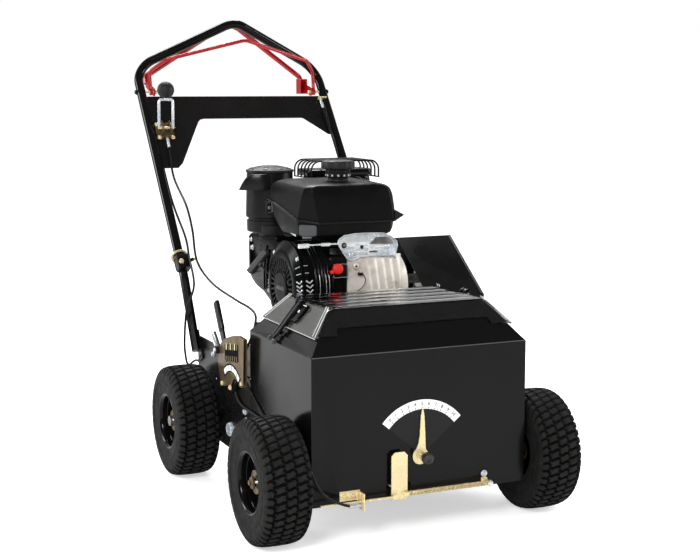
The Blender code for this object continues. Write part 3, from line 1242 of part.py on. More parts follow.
def make_handle():
    for side, word in ((-1, "right"), (1, "left")):
        x = side * HANDLE_X
        path = bent([(x, *HANDLE_FOOT), tuple(on_leg(-0.050, 0, x)), tuple(on_leg(-SEAT / 2, 0, x))],
                    (0.12,), 4)
        lower = tube(path, HANDLE_TUBE_RADIUS, 2)
        sleeve = rod(on_leg(-0.024, 0, x), on_leg(0.024, 0, x), 0.0175, 16)
        lug = bar(on_leg(-0.014, 0.0150, x), on_leg(0.014, 0.0150, x), 0.014, 0.018)
        bore = rod(on_leg(-SEAT / 2, 0, x), on_leg(0.030, 0, x), HANDLE_TUBE_RADIUS + SEAT, 16)
        ear = ear_plate(side)
        piece(f"lower_handle_{word}", cut(join(lower, [sleeve, lug, ear]), [bore]), GLOSS_BLACK)

    right, left = -HANDLE_X, HANDLE_X
    path = bent([tuple(on_leg(SEAT / 2, 0, right)), (right, *HANDLE_CORNER), (0, *HANDLE_APEX),
                 (left, *HANDLE_CORNER), tuple(on_leg(SEAT / 2, 0, left))], (0.070, 0.060, 0.070), 6)
    at = on_leg(BAIL_PIVOT_ALONG)
    bolts = both_sides(cable_stop)
    for side in (-1, 1):
        outer = HANDLE_X + HANDLE_TUBE_RADIUS + 0.005
        head = rod_x((side * (outer - 0.010), side * outer), (at.y, at.z), 0.0070, 6)
        shank = rod_x((side * HANDLE_X, side * 0.2350), (at.y, at.z), 0.0040, 10)
        bolts += [head, shank]
    piece("upper_handle", join(tube(path, HANDLE_TUBE_RADIUS, 2), bolts), GLOSS_BLACK)


def ear_plate(side):
    """The flattened foot of a lower tube, which is bolted to the side plate."""
    inner = SIDE_PLATE_X + SIDE_PLATE / 2 + SEAT
    y, z = HANDLE_FOOT
    x = side * (inner + 0.002)
    return bar((x, y - 0.008, z - 0.022), (x, y + 0.030, z + 0.045), 0.004, 0.030)


def make_handle_plate():
    half = HANDLE_X - HANDLE_TUBE_RADIUS - SEAT
    top = 0.5465
    outline = rounded([(-half, 0.300), (-0.222, 0.300), (-0.206, 0.316), (-0.126, 0.4675, 0.02),
                       (0.190, 0.4675, 0.01), (half - 0.010, 0.4080), (half, 0.4060), (half, top),
                       (-half, top)], 0.002, 3)
    plate = flat([outline], HANDLE_PLATE_THICKNESS, "LEG", (0, *HANDLE_JOINT))
    piece("handle_plate", plate, GLOSS_BLACK)


def make_seed_lever():
    front = HANDLE_PLATE_THICKNESS / 2 + SEAT
    x = SEED_LEVER_X
    pivot = on_leg(SEED_PIVOT_ALONG, SEED_PIVOT_FRONT, x)
    base = bar(on_leg(0.395, front + 0.0015, x), on_leg(0.450, front + 0.0015, x), 0.050, 0.003)
    ears = [bar(on_leg(0.404, 0.0155, x + shift), on_leg(0.441, 0.0155, x + shift), 0.003, 0.027)
            for shift in (-0.011, 0.011)]
    fitting = bar(on_leg(0.395, 0.010, x), on_leg(0.398, 0.010, x), 0.022, 0.016)
    bore = rod(pivot - Vector((0.02, 0, 0)), pivot + Vector((0.02, 0, 0)), 0.0040 + RUN, 10)
    piece("lever_bracket", cut(join(base, [*ears, fitting]), [bore]), YELLOW_ZINC)
    top = pivot + Vector((0, -0.003, 0.078))
    reach = Vector((0.0200, 0, 0))
    loop = bent([pivot - reach, top - reach, top + reach, pivot + reach], (0.008, 0.008), 4)
    bow = tube(loop, 0.0040, 2)
    pin = rod(pivot - reach * 1.15, pivot + reach * 1.15, 0.0040, 10)
    ball_at = pivot + Vector((0, -0.003, 0.1040))
    neck = rod(top, ball_at, 0.0070, 10)
    piece("seed_lever", join(bow, [pin, neck, ball(ball_at, KNOB_RADIUS)]), BRIGHT_ZINC, pivot)


def make_bails():
    at = on_leg(BAIL_PIVOT_ALONG)
    pivot = (at.y, at.z)

    def eye(x, width, radius):
        return rod_x((x - width / 2, x + width / 2), pivot, radius, 14)

    def bore(x):
        return rod_x((x - 0.01, x + 0.01), pivot, 0.0040 + RUN, 10)

    x = 0.2500
    half = [(x, *pivot), (x + 0.0010, 1.1430, 1.0200), (0.2140, 1.0980, 1.0530), (0, 1.0350, 1.1080)]
    thin_path = bent(half + [(-px, py, pz) for px, py, pz in half[-2::-1]],
                     (0.020, 0.030, 0.030, 0.030, 0.020), 3)
    thin = tube(thin_path, THIN_BAIL_RADIUS, 1)
    join(thin, [eye(-x, 0.006, 0.0095), eye(x, 0.006, 0.0095)])
    piece("traction_bail", cut(thin, [bore(-x), bore(x)]), RED_PAINT, at)

    x = 0.2410
    start = (x, THICK_BAIL_BACK_Y - 0.012, 0.9860)
    half = [start, (x, THICK_BAIL_BACK_Y, 1.0060), (0, 1.1720, 1.1650)]
    thick_path = bent(half + [(-px, py, pz) for px, py, pz in half[-2::-1]], (0.012, 0.050, 0.012), 4)
    thick = tube(thick_path, THICK_BAIL_RADIUS, 1)
    foot = tangent_loop(pivot, 0.0120, (start[1] - 0.004, start[2] - 0.002), 0.0100, 8)
    ends = [flat([foot], 0.0030, "X", side * x) for side in (-1, 1)]
    channel = box_x((x - 0.0200, x + 0.0015), (1.1650, 1.2000), (0.9560, 1.0000))
    hollow = box_x((x - 0.0185, x - 0.0015), (1.1600, 1.1985), (0.9500, 1.0100))
    join(thick, ends + [cut(channel, [hollow])])
    piece("blade_bail", cut(thick, [bore(-x), bore(x)]), RED_PAINT, at)


def cable_stop(side):
    """The small bracket on the inside of a leg that a bail's cable ends at."""
    outer = HANDLE_X
    inner = HANDLE_X - HANDLE_TUBE_RADIUS - 0.014
    middle = side * (outer + inner) / 2
    front = side * CABLE_STOP_FRONT
    return bar(on_leg(CABLE_STOP_ALONG, front, middle), on_leg(CABLE_STOP_ALONG + 0.002, front, middle),
               outer - inner, 0.016)


def make_cables():
    clear = HANDLE_X - HANDLE_TUBE_RADIUS - CABLE_RADIUS - 0.0008
    stop = HANDLE_X - HANDLE_TUBE_RADIUS - 0.0070
    spacing = 0.0420
    gate = [tuple(on_leg(0.3945, 0.0100, SEED_LEVER_X)), tuple(on_leg(0.3600, 0.0130, -0.2400)),
            tuple(on_leg(0.2600, 0.0160, -0.2480)), tuple(on_leg(0.1000, 0.0060, -0.2540)),
            tuple(on_leg(0.0300, 0.0030, -0.2530)), tuple(on_leg(-0.0200, 0.0200, -0.2540)),
            (-0.2580, 0.7080, 0.5000), (-0.2630, 0.6300, 0.4930), (-0.2630, 0.5000, 0.4880),
            (-0.2635, 0.3700, 0.4800), (-0.2680, 0.2700, 0.4720), (-0.2690, 0.2000, 0.4420),
            (-0.2670, 0.0900, 0.3530), (-0.2670, -0.0100, 0.2680), (-0.2710, -0.0700, 0.2140),
            (-0.2660, -0.0960, 0.1660), (-0.2420, -0.1020, 0.1220), (-0.2050, -0.1010, 0.1000),
            (-0.1760, -0.0980, 0.0900), (-0.1563, -0.0980, 0.0900)]
    traction = [tuple(on_leg(CABLE_STOP_ALONG - SEAT, -CABLE_STOP_FRONT, -stop)),
                tuple(on_leg(0.4950, -CABLE_STOP_FRONT, -stop)), tuple(on_leg(0.3800, -0.0080, -clear)),
                tuple(on_leg(0.2000, -0.0030, -clear)), tuple(on_leg(0.0600, -0.0100, -0.2540)),
                tuple(on_leg(-0.0500, -0.0120, -0.2500)), (-0.2480, 0.7780, 0.4100),
                (-0.2440, 0.7930, 0.3330), (-0.2350, 0.7840, 0.2500), (-0.2000, 0.7500, 0.2120),
                (-0.1200, 0.7050, 0.2250),
                (-0.0200, 0.6920, 0.2620), (0.0500, 0.6820, 0.2940), (0.0640, 0.6580, 0.3000),
                (0.0640, 0.6324, 0.3000)]
    tail_y = IDLER_PIVOT[0] + 0.040 + 0.0070 + SEAT
    blade = [tuple(on_leg(CABLE_STOP_ALONG - SEAT, CABLE_STOP_FRONT, stop)),
             tuple(on_leg(0.4950, CABLE_STOP_FRONT, stop)), tuple(on_leg(0.3800, 0.0080, clear)),
             tuple(on_leg(0.2000, 0.0030, clear)), tuple(on_leg(0.0600, 0.0030, clear - 0.0060)),
             tuple(on_leg(-0.0400, 0.0030, clear - 0.0060)),
             (clear - 0.006, 0.7180, 0.4000), (0.2510, 0.7180, 0.3200), (0.2500, 0.7040, 0.2820),
             (0.2480, 0.6700, 0.2640), (0.2470, tail_y, 0.2620)]
    for name, points in (("gate_cable", gate), ("traction_cable", traction), ("blade_cable", blade)):
        piece(name, tube(smooth_path(points, spacing), CABLE_RADIUS, 2), BLACK_RUBBER)


make_wheels()
make_hopper()
make_agitator()
make_seed_chute()
make_lid()
make_latches()
make_gate()
make_gate_spring()
make_dial()
make_side_plates()
make_deck()
make_rear_axle()
make_ground_drive()
make_reel()
make_carriage()
make_depth_control()
make_belt_drive()
make_belt_guard()
make_crankcase()
make_blower()
make_starter_grip()
make_tank()
make_air_cleaner()
make_governor()
make_stop_knob()
make_muffler()
make_handle()
make_handle_plate()
make_seed_lever()
make_bails()
make_cables()
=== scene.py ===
import math

import bmesh
import bpy
import numpy as np
from mathutils import Matrix, Vector
from mathutils.geometry import tessellate_polygon


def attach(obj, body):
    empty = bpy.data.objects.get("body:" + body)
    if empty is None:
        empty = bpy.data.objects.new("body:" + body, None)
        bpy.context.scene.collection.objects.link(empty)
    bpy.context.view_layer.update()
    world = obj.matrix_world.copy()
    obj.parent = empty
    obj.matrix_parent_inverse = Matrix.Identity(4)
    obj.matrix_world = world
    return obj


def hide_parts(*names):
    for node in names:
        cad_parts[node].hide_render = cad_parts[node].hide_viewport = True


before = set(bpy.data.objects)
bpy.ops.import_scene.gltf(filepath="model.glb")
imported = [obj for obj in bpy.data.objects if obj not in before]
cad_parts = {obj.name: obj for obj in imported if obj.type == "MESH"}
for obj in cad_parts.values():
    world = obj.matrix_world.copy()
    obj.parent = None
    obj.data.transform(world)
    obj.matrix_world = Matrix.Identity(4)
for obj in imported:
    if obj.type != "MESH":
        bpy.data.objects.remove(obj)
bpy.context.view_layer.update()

bl_info = {
    "name": "Slice Seeder Looks",
    "version": (1, 0, 0),
    "blender": (4, 5, 0),
    "location": "3D View > Sidebar > Seeder",
    "description": "Builds the detailed surfaces, the finishes and the studio of a walk-behind slice seeder",
    "category": "Object",
}

# Lengths are in metres. Points are measured from the floor under the middle of the front axle,
# with +X to the operator's left and +Y towards the operator.
FRONT_AXLE = np.array((0.0, -0.54515, 0.0))
TRACK = 0.660
REAR_AXLE_Y = 0.599
AXLE_Z = 0.1397
HOPPER_FACE_Y = -0.074
DIAL_Z = 0.177
JOINT = np.array((0.0, 0.785, 0.520))
LEG = np.array((0.0, 0.6190, 0.7854))
LEG_FRONT = np.array((0.0, -0.7854, 0.6190))
LEG_X = 0.27855
LATCH_Y = 0.115
CRANK = (0.390, 0.4975)
X_AXIS = np.array((1.0, 0.0, 0.0))
Y_AXIS = np.array((0.0, 1.0, 0.0))
Z_AXIS = np.array((0.0, 0.0, 1.0))


# Node trees

class Term:
    """One value of a node tree, so that a formula of a finish reads as sums and products."""

    def __init__(self, tree, socket):
        self.tree = tree
        self.socket = socket

    def math(self, operation, *others):
        node = self.tree.nodes.new("ShaderNodeMath")
        node.operation = operation
        for slot, value in zip(node.inputs, (self, *others)):
            if isinstance(value, Term):
                self.tree.links.new(value.socket, slot)
            else:
                slot.default_value = value
        return Term(self.tree, node.outputs[0])

    def __add__(self, other):
        return self.math("ADD", other)

    def __radd__(self, other):
        return self.math("ADD", other)

    def __sub__(self, other):
        return self.math("SUBTRACT", other)

    def __rsub__(self, other):
        return self.math("MULTIPLY", -1.0).math("ADD", other)

    def __mul__(self, other):
        return self.math("MULTIPLY", other)

    def __rmul__(self, other):
        return self.math("MULTIPLY", other)

    def __truediv__(self, other):
        return self.math("DIVIDE", other)

    def __rtruediv__(self, other):
        return self.math("POWER", -1.0).math("MULTIPLY", other)

    def __pow__(self, other):
        return self.math("POWER", other)

    def ramp(self, low, high, start=0.0, end=1.0):
        """Goes smoothly from start to end while this value goes from low to high."""
        node = self.tree.nodes.new("ShaderNodeMapRange")
        node.interpolation_type = "SMOOTHSTEP"
        self.tree.links.new(self.socket, node.inputs["Value"])
        for slot, value in zip(("From Min", "From Max", "To Min", "To Max"), (low, high, start, end)):
            node.inputs[slot].default_value = value
        return Term(self.tree, node.outputs["Result"])


class Finish:
    """One procedural material on object coordinates."""

    def __init__(self, name, **constants):
        self.material = bpy.data.materials.new(name)
        self.material.use_nodes = True
        self.tree = self.material.node_tree
        self.shader = self.tree.nodes["Principled BSDF"]
        self.place = self.node("ShaderNodeTexCoord").outputs["Object"]
        for word, value in constants.items():
            slot = self.shader.inputs[word.replace("_", " ").title().replace("Ior", "IOR")]
            slot.default_value = (*value, 1.0) if isinstance(value, tuple) else value

    def node(self, kind, **settings):
        node = self.tree.nodes.new(kind)
        for word, value in settings.items():
            setattr(node, word, value)
        return node

    def link(self, source, slot):
        self.tree.links.new(source.socket if isinstance(source, Term) else source, slot)

    def noise(self, scale, detail=2.0, roughness=0.5, stretch=None):
        node = self.node("ShaderNodeTexNoise")
        node.inputs["Scale"].default_value = scale
        node.inputs["Detail"].default_value = detail
        node.inputs["Roughness"].default_value = roughness
        place = self.place
        if stretch:
            scaled = self.node("ShaderNodeVectorMath", operation="MULTIPLY")
            self.link(place, scaled.inputs[0])
            scaled.inputs[1].default_value = stretch
            place = scaled.outputs[0]
        self.link(place, node.inputs["Vector"])
        return Term(self.tree, node.outputs["Fac"])

    def blend(self, factor, first, second):
        """A colour between two colours."""
        node = self.node("ShaderNodeMix", data_type="RGBA")
        self.link(factor, node.inputs["Factor"])
        for slot, value in ((6, first), (7, second)):
            if isinstance(value, tuple):
                node.inputs[slot].default_value = (*value, 1.0)
            else:
                self.link(value, node.inputs[slot])
        return node.outputs[2]

    def drive(self, word, source):
        self.link(source, self.shader.inputs[word])

    def bump(self, height, distance, strength=1.0):
        node = self.node("ShaderNodeBump")
        node.inputs["Distance"].default_value = distance
        node.inputs["Strength"].default_value = strength
        self.link(height, node.inputs["Height"])
        self.drive("Normal", node.outputs[0])


# Finishes

def gloss_black():
    it = Finish("gloss_black_powder_coat", base_color=(0.0030, 0.0028, 0.0027), specular_ior_level=0.26)
    it.drive("Roughness", it.noise(9, 3).ramp(0.3, 0.7, 0.13, 0.20))
    it.bump(it.noise(900, 2), 0.00006, 0.5)
    return it.material


def satin_black():
    it = Finish("satin_black_paint", base_color=(0.0042, 0.0040, 0.0039), specular_ior_level=0.28)
    it.drive("Roughness", it.noise(14, 3).ramp(0.3, 0.7, 0.24, 0.34))
    it.bump(it.noise(1400, 2), 0.00005, 0.5)
    return it.material


def deep_black():
    it = Finish("deep_black_shroud", base_color=(0.0020, 0.0020, 0.0021), specular_ior_level=0.08)
    it.drive("Roughness", it.noise(14, 3).ramp(0.3, 0.7, 0.16, 0.26))
    return it.material


def matte_plastic():
    it = Finish("grained_black_plastic", base_color=(0.0075, 0.0075, 0.0078), specular_ior_level=0.4)
    it.drive("Roughness", it.noise(30, 2).ramp(0.3, 0.7, 0.46, 0.58))
    it.bump(it.noise(2200, 2), 0.00010, 0.5)
    return it.material


def smooth_plastic():
    it = Finish("smooth_black_plastic", base_color=(0.0050, 0.0050, 0.0052), specular_ior_level=0.3)
    it.drive("Roughness", it.noise(20, 2).ramp(0.3, 0.7, 0.26, 0.36))
    return it.material


def tank_plastic():
    it = Finish("moulded_tank_plastic", base_color=(0.0026, 0.0026, 0.0027), specular_ior_level=0.16)
    it.drive("Roughness", it.noise(20, 2).ramp(0.3, 0.7, 0.30, 0.42))
    return it.material


def grey_plastic():
    it = Finish("charcoal_plastic", base_color=(0.055, 0.058, 0.062), specular_ior_level=0.4)
    it.drive("Roughness", it.noise(30, 2).ramp(0.3, 0.7, 0.38, 0.50))
    it.bump(it.noise(1800, 2), 0.00008, 0.5)
    return it.material


def tyre_rubber():
    it = Finish("tyre_rubber", specular_ior_level=0.18)
    dust = it.noise(38, 5, 0.6).ramp(0.40, 0.72)
    it.drive("Base Color", it.blend(dust, (0.0080, 0.0077, 0.0074), (0.0135, 0.0128, 0.0122)))
    it.drive("Roughness", it.noise(60, 3).ramp(0.3, 0.7, 0.58, 0.74))
    it.bump(it.noise(1500, 3), 0.00012, 0.5)
    return it.material


# Painted shade: the darkest rubber, laid on the tyres' groove floors to stand in for the shade inside the
# grooves; the depth quadrant also uses it for its dark panels.
def groove_rubber():
    it = Finish("groove_shade_and_dark_panel_rubber", base_color=(0.0022, 0.0021, 0.0020), specular_ior_level=0.1)
    it.drive("Roughness", it.noise(60, 3).ramp(0.3, 0.7, 0.70, 0.85))
    return it.material


def soft_rubber():
    it = Finish("black_rubber", base_color=(0.0050, 0.0050, 0.0050), specular_ior_level=0.35)
    it.drive("Roughness", it.noise(40, 2).ramp(0.3, 0.7, 0.42, 0.56))
    return it.material


def clear_plastic():
    it = Finish("clear_ribbed_plastic", base_color=(0.90, 0.91, 0.90), roughness=0.03, ior=1.45,
                transmission_weight=1.0)
    it.bump(it.noise(26, 2), 0.0004, 0.15)
    return it.material


# Painted highlight: a pale, nearly opaque plastic for the lid's cut edges, its fold beads and the strip on
# the latch bases, standing in for the light these edges catch.
def clear_edge():
    it = Finish("painted_edge_highlight_plastic", base_color=(0.80, 0.82, 0.82), ior=1.45, alpha=0.80)
    it.drive("Roughness", it.noise(40, 2).ramp(0.3, 0.7, 0.10, 0.20))
    return it.material


# Painted reflection: a grey, partly opaque plastic for the inner skin of the lid's side slopes, standing in
# for the sheen they reflect.
def clear_haze():
    it = Finish("painted_side_sheen_plastic", base_color=(0.54, 0.53, 0.50), ior=1.45, alpha=0.36)
    it.drive("Roughness", it.noise(40, 2).ramp(0.3, 0.7, 0.20, 0.30))
    return it.material


def yellow_zinc():
    it = Finish("yellow_zinc_plate", metallic=0.45)
    tint = it.noise(24, 3, 0.55).ramp(0.34, 0.66)
    rose = it.noise(17, 2, 0.6).ramp(0.50, 0.70)
    gold = it.blend(tint, (0.86, 0.72, 0.38), (0.86, 0.74, 0.44))
    it.drive("Base Color", it.blend(rose, gold, (0.88, 0.68, 0.42)))
    it.drive("Roughness", it.noise(80, 3).ramp(0.3, 0.7, 0.20, 0.32))
    return it.material


def olive_zinc():
    it = Finish("olive_zinc_plate", metallic=0.75)
    tint = it.noise(24, 3, 0.55).ramp(0.34, 0.66)
    it.drive("Base Color", it.blend(tint, (0.22, 0.165, 0.095), (0.150, 0.112, 0.062)))
    it.drive("Roughness", it.noise(80, 3).ramp(0.3, 0.7, 0.30, 0.42))
    return it.material


def bright_zinc():
    it = Finish("bright_zinc_plate", metallic=0.55)
    cloud = it.noise(16, 2, 0.5).ramp(0.44, 0.62)
    it.drive("Base Color", it.blend(cloud, (0.90, 0.93, 0.95), (0.62, 0.68, 0.74)))
    it.drive("Roughness", it.noise(90, 3).ramp(0.3, 0.7, 0.18, 0.30))
    return it.material


def cast_aluminium():
    it = Finish("cast_aluminium", metallic=0.30)
    stain = it.noise(20, 4, 0.6).ramp(0.42, 0.72)
    it.drive("Base Color", it.blend(stain, (0.90, 0.84, 0.76), (0.52, 0.46, 0.40)))
    it.drive("Roughness", it.noise(70, 3).ramp(0.3, 0.7, 0.30, 0.44))
    it.bump(it.noise(650, 4), 0.00020, 0.6)
    return it.material


def bare_steel():
    it = Finish("bare_steel", metallic=0.90)
    tone = it.noise(50, 4).ramp(0.35, 0.70)
    it.drive("Base Color", it.blend(tone, (0.42, 0.41, 0.40), (0.27, 0.26, 0.25)))
    it.drive("Roughness", it.noise(120, 3).ramp(0.3, 0.7, 0.30, 0.46))
    return it.material


def red_paint():
    it = Finish("red_powder_coat", coat_weight=0.25, coat_roughness=0.08, specular_ior_level=0.35)
    tone = it.noise(26, 3).ramp(0.35, 0.70)
    it.drive("Base Color", it.blend(tone, (0.27, 0.003, 0.006), (0.34, 0.004, 0.008)))
    it.drive("Roughness", it.noise(30, 3).ramp(0.3, 0.7, 0.22, 0.32))
    return it.material


def red_plastic():
    it = Finish("red_plastic", base_color=(0.66, 0.020, 0.016))
    it.drive("Roughness", it.noise(40, 2).ramp(0.3, 0.7, 0.26, 0.36))
    return it.material


def amber_black():
    it = Finish("dark_tinted_plastic", base_color=(0.022, 0.020, 0.019), coat_weight=0.3, coat_roughness=0.08)
    it.drive("Roughness", it.noise(40, 2).ramp(0.3, 0.7, 0.18, 0.30))
    return it.material


def brass():
    it = Finish("brass", metallic=0.7)
    it.drive("Base Color", it.blend(it.noise(60, 3).ramp(0.35, 0.7), (0.76, 0.60, 0.33), (0.62, 0.46, 0.24)))
    it.drive("Roughness", it.noise(90, 3).ramp(0.3, 0.7, 0.20, 0.34))
    return it.material


def white_print():
    it = Finish("white_print", base_color=(0.78, 0.78, 0.77))
    it.drive("Roughness", it.noise(60, 2).ramp(0.3, 0.7, 0.40, 0.55))
    return it.material


def grey_print():
    it = Finish("grey_print", base_color=(0.0150, 0.0150, 0.0155), specular_ior_level=0.15)
    it.drive("Roughness", it.noise(60, 2).ramp(0.3, 0.7, 0.44, 0.56))
    return it.material


FINISHES = {make.__name__: make for make in (
    gloss_black, satin_black, deep_black, matte_plastic, smooth_plastic, tank_plastic, grey_plastic,
    tyre_rubber, groove_rubber, soft_rubber,
    clear_plastic, clear_edge, clear_haze, yellow_zinc, olive_zinc, bright_zinc, cast_aluminium, bare_steel,
    red_paint, red_plastic,
    amber_black, brass, white_print, grey_print)}
made = {}


def finish(word):
    """The material with this word, made when it is first asked for."""
    if word not in made:
        made[word] = FINISHES[word]()
    return made[word]


# Forms

def unit(vector):
    vector = np.asarray(vector, float)
    return vector / np.linalg.norm(vector)


def across(axis):
    """Two directions that are square to an axis and to each other."""
    axis = unit(axis)
    start = Z_AXIS if abs(axis[2]) < 0.9 else X_AXIS
    first = unit(np.cross(start, axis))
    return first, np.cross(axis, first)


def on_leg(along, front=0.0, x=0.0):
    """A point on the plane of the handle's legs, measured from the handle's joint."""
    return JOINT + LEG * along + LEG_FRONT * front + X_AXIS * x


def spline(points, spacing):
    """A smooth path through points: each part is a cubic whose slopes follow the neighbouring points."""
    knots = np.asarray(points, float)
    knots = np.vstack((2 * knots[0] - knots[1], knots, 2 * knots[-1] - knots[-2]))
    path = []
    for before, start, end, after in zip(knots, knots[1:], knots[2:], knots[3:]):
        count = max(1, round(np.linalg.norm(end - start) / spacing))
        t = (np.arange(count) / count)[:, None]
        square = 2 * before - 5 * start + 4 * end - after
        cube = 3 * start - before - 3 * end + after
        path.append(0.5 * (2 * start + (end - before) * t + square * t ** 2 + cube * t ** 3))
    return np.vstack((*path, knots[-2]))


def bent(points, radii, count=8):
    """A path whose inner corners are arcs of the given radii."""
    points = [np.asarray(point, float) for point in points]
    path = [points[0]]
    for before, here, after, radius in zip(points, points[1:], points[2:], radii):
        back, ahead = unit(before - here), unit(after - here)
        half = math.acos(np.clip(back @ ahead, -1, 1)) / 2
        middle = unit(back + ahead)
        centre = here + middle * radius / math.sin(half)
        side = unit(ahead - back)
        for turn in np.linspace(-(math.pi / 2 - half), math.pi / 2 - half, count):
            path.append(centre - middle * radius * math.cos(turn) + side * radius * math.sin(turn))
    path.append(points[-1])
    return np.array(path)


def rounded(points, radius, count=5):
    """A flat outline with rounded corners, where a corner's own radius may be given with its point."""
    sizes = [point[2] if len(point) > 2 else radius for point in points]
    flat = [np.array((*point[:2], 0.0)) for point in points]
    outline = []
    for index, here in enumerate(flat):
        if sizes[index] <= 0:
            outline.append(here[:2])
            continue
        ring = (flat[index - 1], here, flat[(index + 1) % len(flat)])
        outline.extend(bent(ring, (sizes[index],), count)[1:-1, :2])
    return np.array(outline)


def circle(centre, radius, count=24):
    turn = np.arange(count) * 2 * math.pi / count
    return np.stack((centre[0] + radius * np.cos(turn), centre[1] + radius * np.sin(turn)), -1)


def arc(centre, radius, start, end, count):
    turn = np.radians(np.linspace(start, end, count))
    return np.stack((centre[0] + radius * np.cos(turn), centre[1] + radius * np.sin(turn)), -1)


def grown(outline, step):
    """An outline moved outwards by a step along the corners' normals."""
    outline = np.asarray(outline, float)
    ahead = np.roll(outline, -1, 0) - outline
    ahead /= np.maximum(np.linalg.norm(ahead, axis=1, keepdims=True), 1e-12)
    normal = np.stack((ahead[:, 1], -ahead[:, 0]), -1)
    before = np.roll(normal, 1, 0)
    area = np.sum(outline[:, 0] * np.roll(outline[:, 1], -1) - outline[:, 1] * np.roll(outline[:, 0], -1))
    scale = 1 / np.maximum(1 + np.sum(normal * before, 1, keepdims=True), 0.4)
    return outline + (normal + before) * scale * step * np.sign(area)


PLANES = {
    "X": (Y_AXIS, Z_AXIS, X_AXIS),
    "Y": (X_AXIS, Z_AXIS, -Y_AXIS),
    "Z": (X_AXIS, Y_AXIS, Z_AXIS),
    "LEG": (X_AXIS, LEG, LEG_FRONT),
}


class Form:
    """Surfaces gathered into one mesh, each with the finish of its slot."""

    def __init__(self, *words):
        self.words = words
        self.verts = []
        self.faces = []
        self.slots = []
        self.count = 0

    def add(self, verts, faces, slot=0):
        verts = np.asarray(verts, float).reshape(-1, 3)
        self.verts.append(verts)
        self.faces.extend([tuple(index + self.count for index in face) for face in faces])
        self.slots.extend([self.words.index(slot) if isinstance(slot, str) else slot] * len(faces))
        self.count += len(verts)

    def grid(self, points, slot=0, ring=True, loop=False, caps=True):
        """Quads over a grid of points. Rows close into rings, and the rows may close into a loop."""
        points = np.asarray(points, float)
        rows, columns = points.shape[:2]
        index = np.arange(rows * columns).reshape(rows, columns)
        if ring:
            index = np.hstack((index, index[:, :1]))
        if loop:
            index = np.vstack((index, index[:1]))
        quads = np.stack((index[:-1, :-1], index[:-1, 1:], index[1:, 1:], index[1:, :-1]), -1).reshape(-1, 4)
        faces = quads.tolist()
        if caps and ring and not loop:
            faces += [list(range(columns))[::-1], list(range((rows - 1) * columns, rows * columns))]
        self.add(points, faces, slot)

    def lathe(self, profile, centre, axis, steps=32, slot=0, loop=False):
        """A turned body: each point (along, radius) of the profile goes round the axis."""
        profile = np.asarray(profile, float)
        first, second = across(axis)
        turn = np.arange(steps) * 2 * math.pi / steps
        spoke = np.cos(turn)[:, None] * first + np.sin(turn)[:, None] * second
        points = (np.asarray(centre, float) + profile[:, 0, None, None] * unit(axis)
                  + profile[:, 1, None, None] * spoke)
        self.grid(points, slot, loop=loop)

    def rod(self, start, end, radius, slot=0, steps=20, edge=None):
        """A round bar with rounded rims."""
        start, end = np.asarray(start, float), np.asarray(end, float)
        long = np.linalg.norm(end - start)
        edge = min(radius * 0.25, long * 0.3, 0.001) if edge is None else edge
        soft = edge * 0.3
        self.lathe([(0, radius - edge), (soft, radius - soft), (edge, radius), (long - edge, radius),
                    (long - soft, radius - soft), (long, radius - edge)], start, end - start, steps, slot)

    def sweep(self, path, radius, slot=0, sides=16, closed=False):
        """A round section carried along a path, kept square to it by the least turn at each point."""
        path = np.asarray(path, float)
        ahead = np.roll(path, -1, 0) - np.roll(path, 1, 0) if closed else np.gradient(path, axis=0)
        ahead /= np.linalg.norm(ahead, axis=1, keepdims=True)
        first = across(ahead[0])[0]
        turn = np.arange(sides) * 2 * math.pi / sides
        radius = np.broadcast_to(radius, len(path))
        rings = []
        for place, way, size in zip(path, ahead, radius):
            first = unit(first - way * (first @ way))
            second = np.cross(way, first)
            rings.append(place + size * (np.cos(turn)[:, None] * first + np.sin(turn)[:, None] * second))
        self.grid(np.array(rings), slot, loop=closed)

    def coil(self, start, end, radius, wire, turns, slot=0, sides=8):
        """A wire wound evenly round the line from start to end."""
        start, end = np.asarray(start, float), np.asarray(end, float)
        first, second = across(end - start)
        t = np.linspace(0, 1, int(turns * 14))[:, None]
        angle = 2 * math.pi * turns * t
        self.sweep(start + (end - start) * t + radius * (np.cos(angle) * first + np.sin(angle) * second),
                   wire,
                   slot, sides)

    def plate(self, outline, low, high, plane, slot=0, edge=0.0004, holes=(), origin=(0, 0, 0)):
        """A flat piece between two levels of a plane, with rounded rims and with holes."""
        right, up, out = PLANES[plane] if isinstance(plane, str) else plane
        origin = np.asarray(origin, float)
        low, high = sorted((low, high))
        edge = min(edge, (high - low) * 0.45)
        rims = [(edge, 0), (edge * 0.3, edge * 0.3), (0, edge)]
        rows = [(shrink, low + rise) for shrink, rise in rims] + [(shrink, high - rise) for shrink,
                                                                  rise in rims[::-1]]

        def lift(flat, level):
            return origin + flat[:, :1] * right + flat[:, 1:2] * up + level * out

        loops = [(np.asarray(outline, float), -1)] + [(np.asarray(hole, float), 1) for hole in holes]
        tops, bottoms = [], []
        for loop, sign in loops:
            rings = np.array([lift(grown(loop, sign * shrink), level) for shrink, level in rows])
            self.grid(rings, slot, caps=False)
            bottoms.append(rings[0])
            tops.append(rings[-1])
        for rings in (tops, bottoms):
            faces = tessellate_polygon([[Vector((*(ring @ np.stack((right, up), -1))[i],
                                                 0)) for i in range(len(ring))]
                                        for ring in rings])
            self.add(np.vstack(rings), [face for face in faces if len(set(face)) == 3], slot)

    def cuboid(self, low, high, slot=0, edge=0.0010, corner=None):
        """A box with rounded rims."""
        low, high = np.minimum(low, high), np.maximum(low, high)
        corner = edge if corner is None else corner
        corners = [(low[0], low[1]), (high[0], low[1]), (high[0], high[1]), (low[0], high[1])]
        self.plate(rounded(corners, corner, 4), low[2], high[2], "Z", slot, edge)

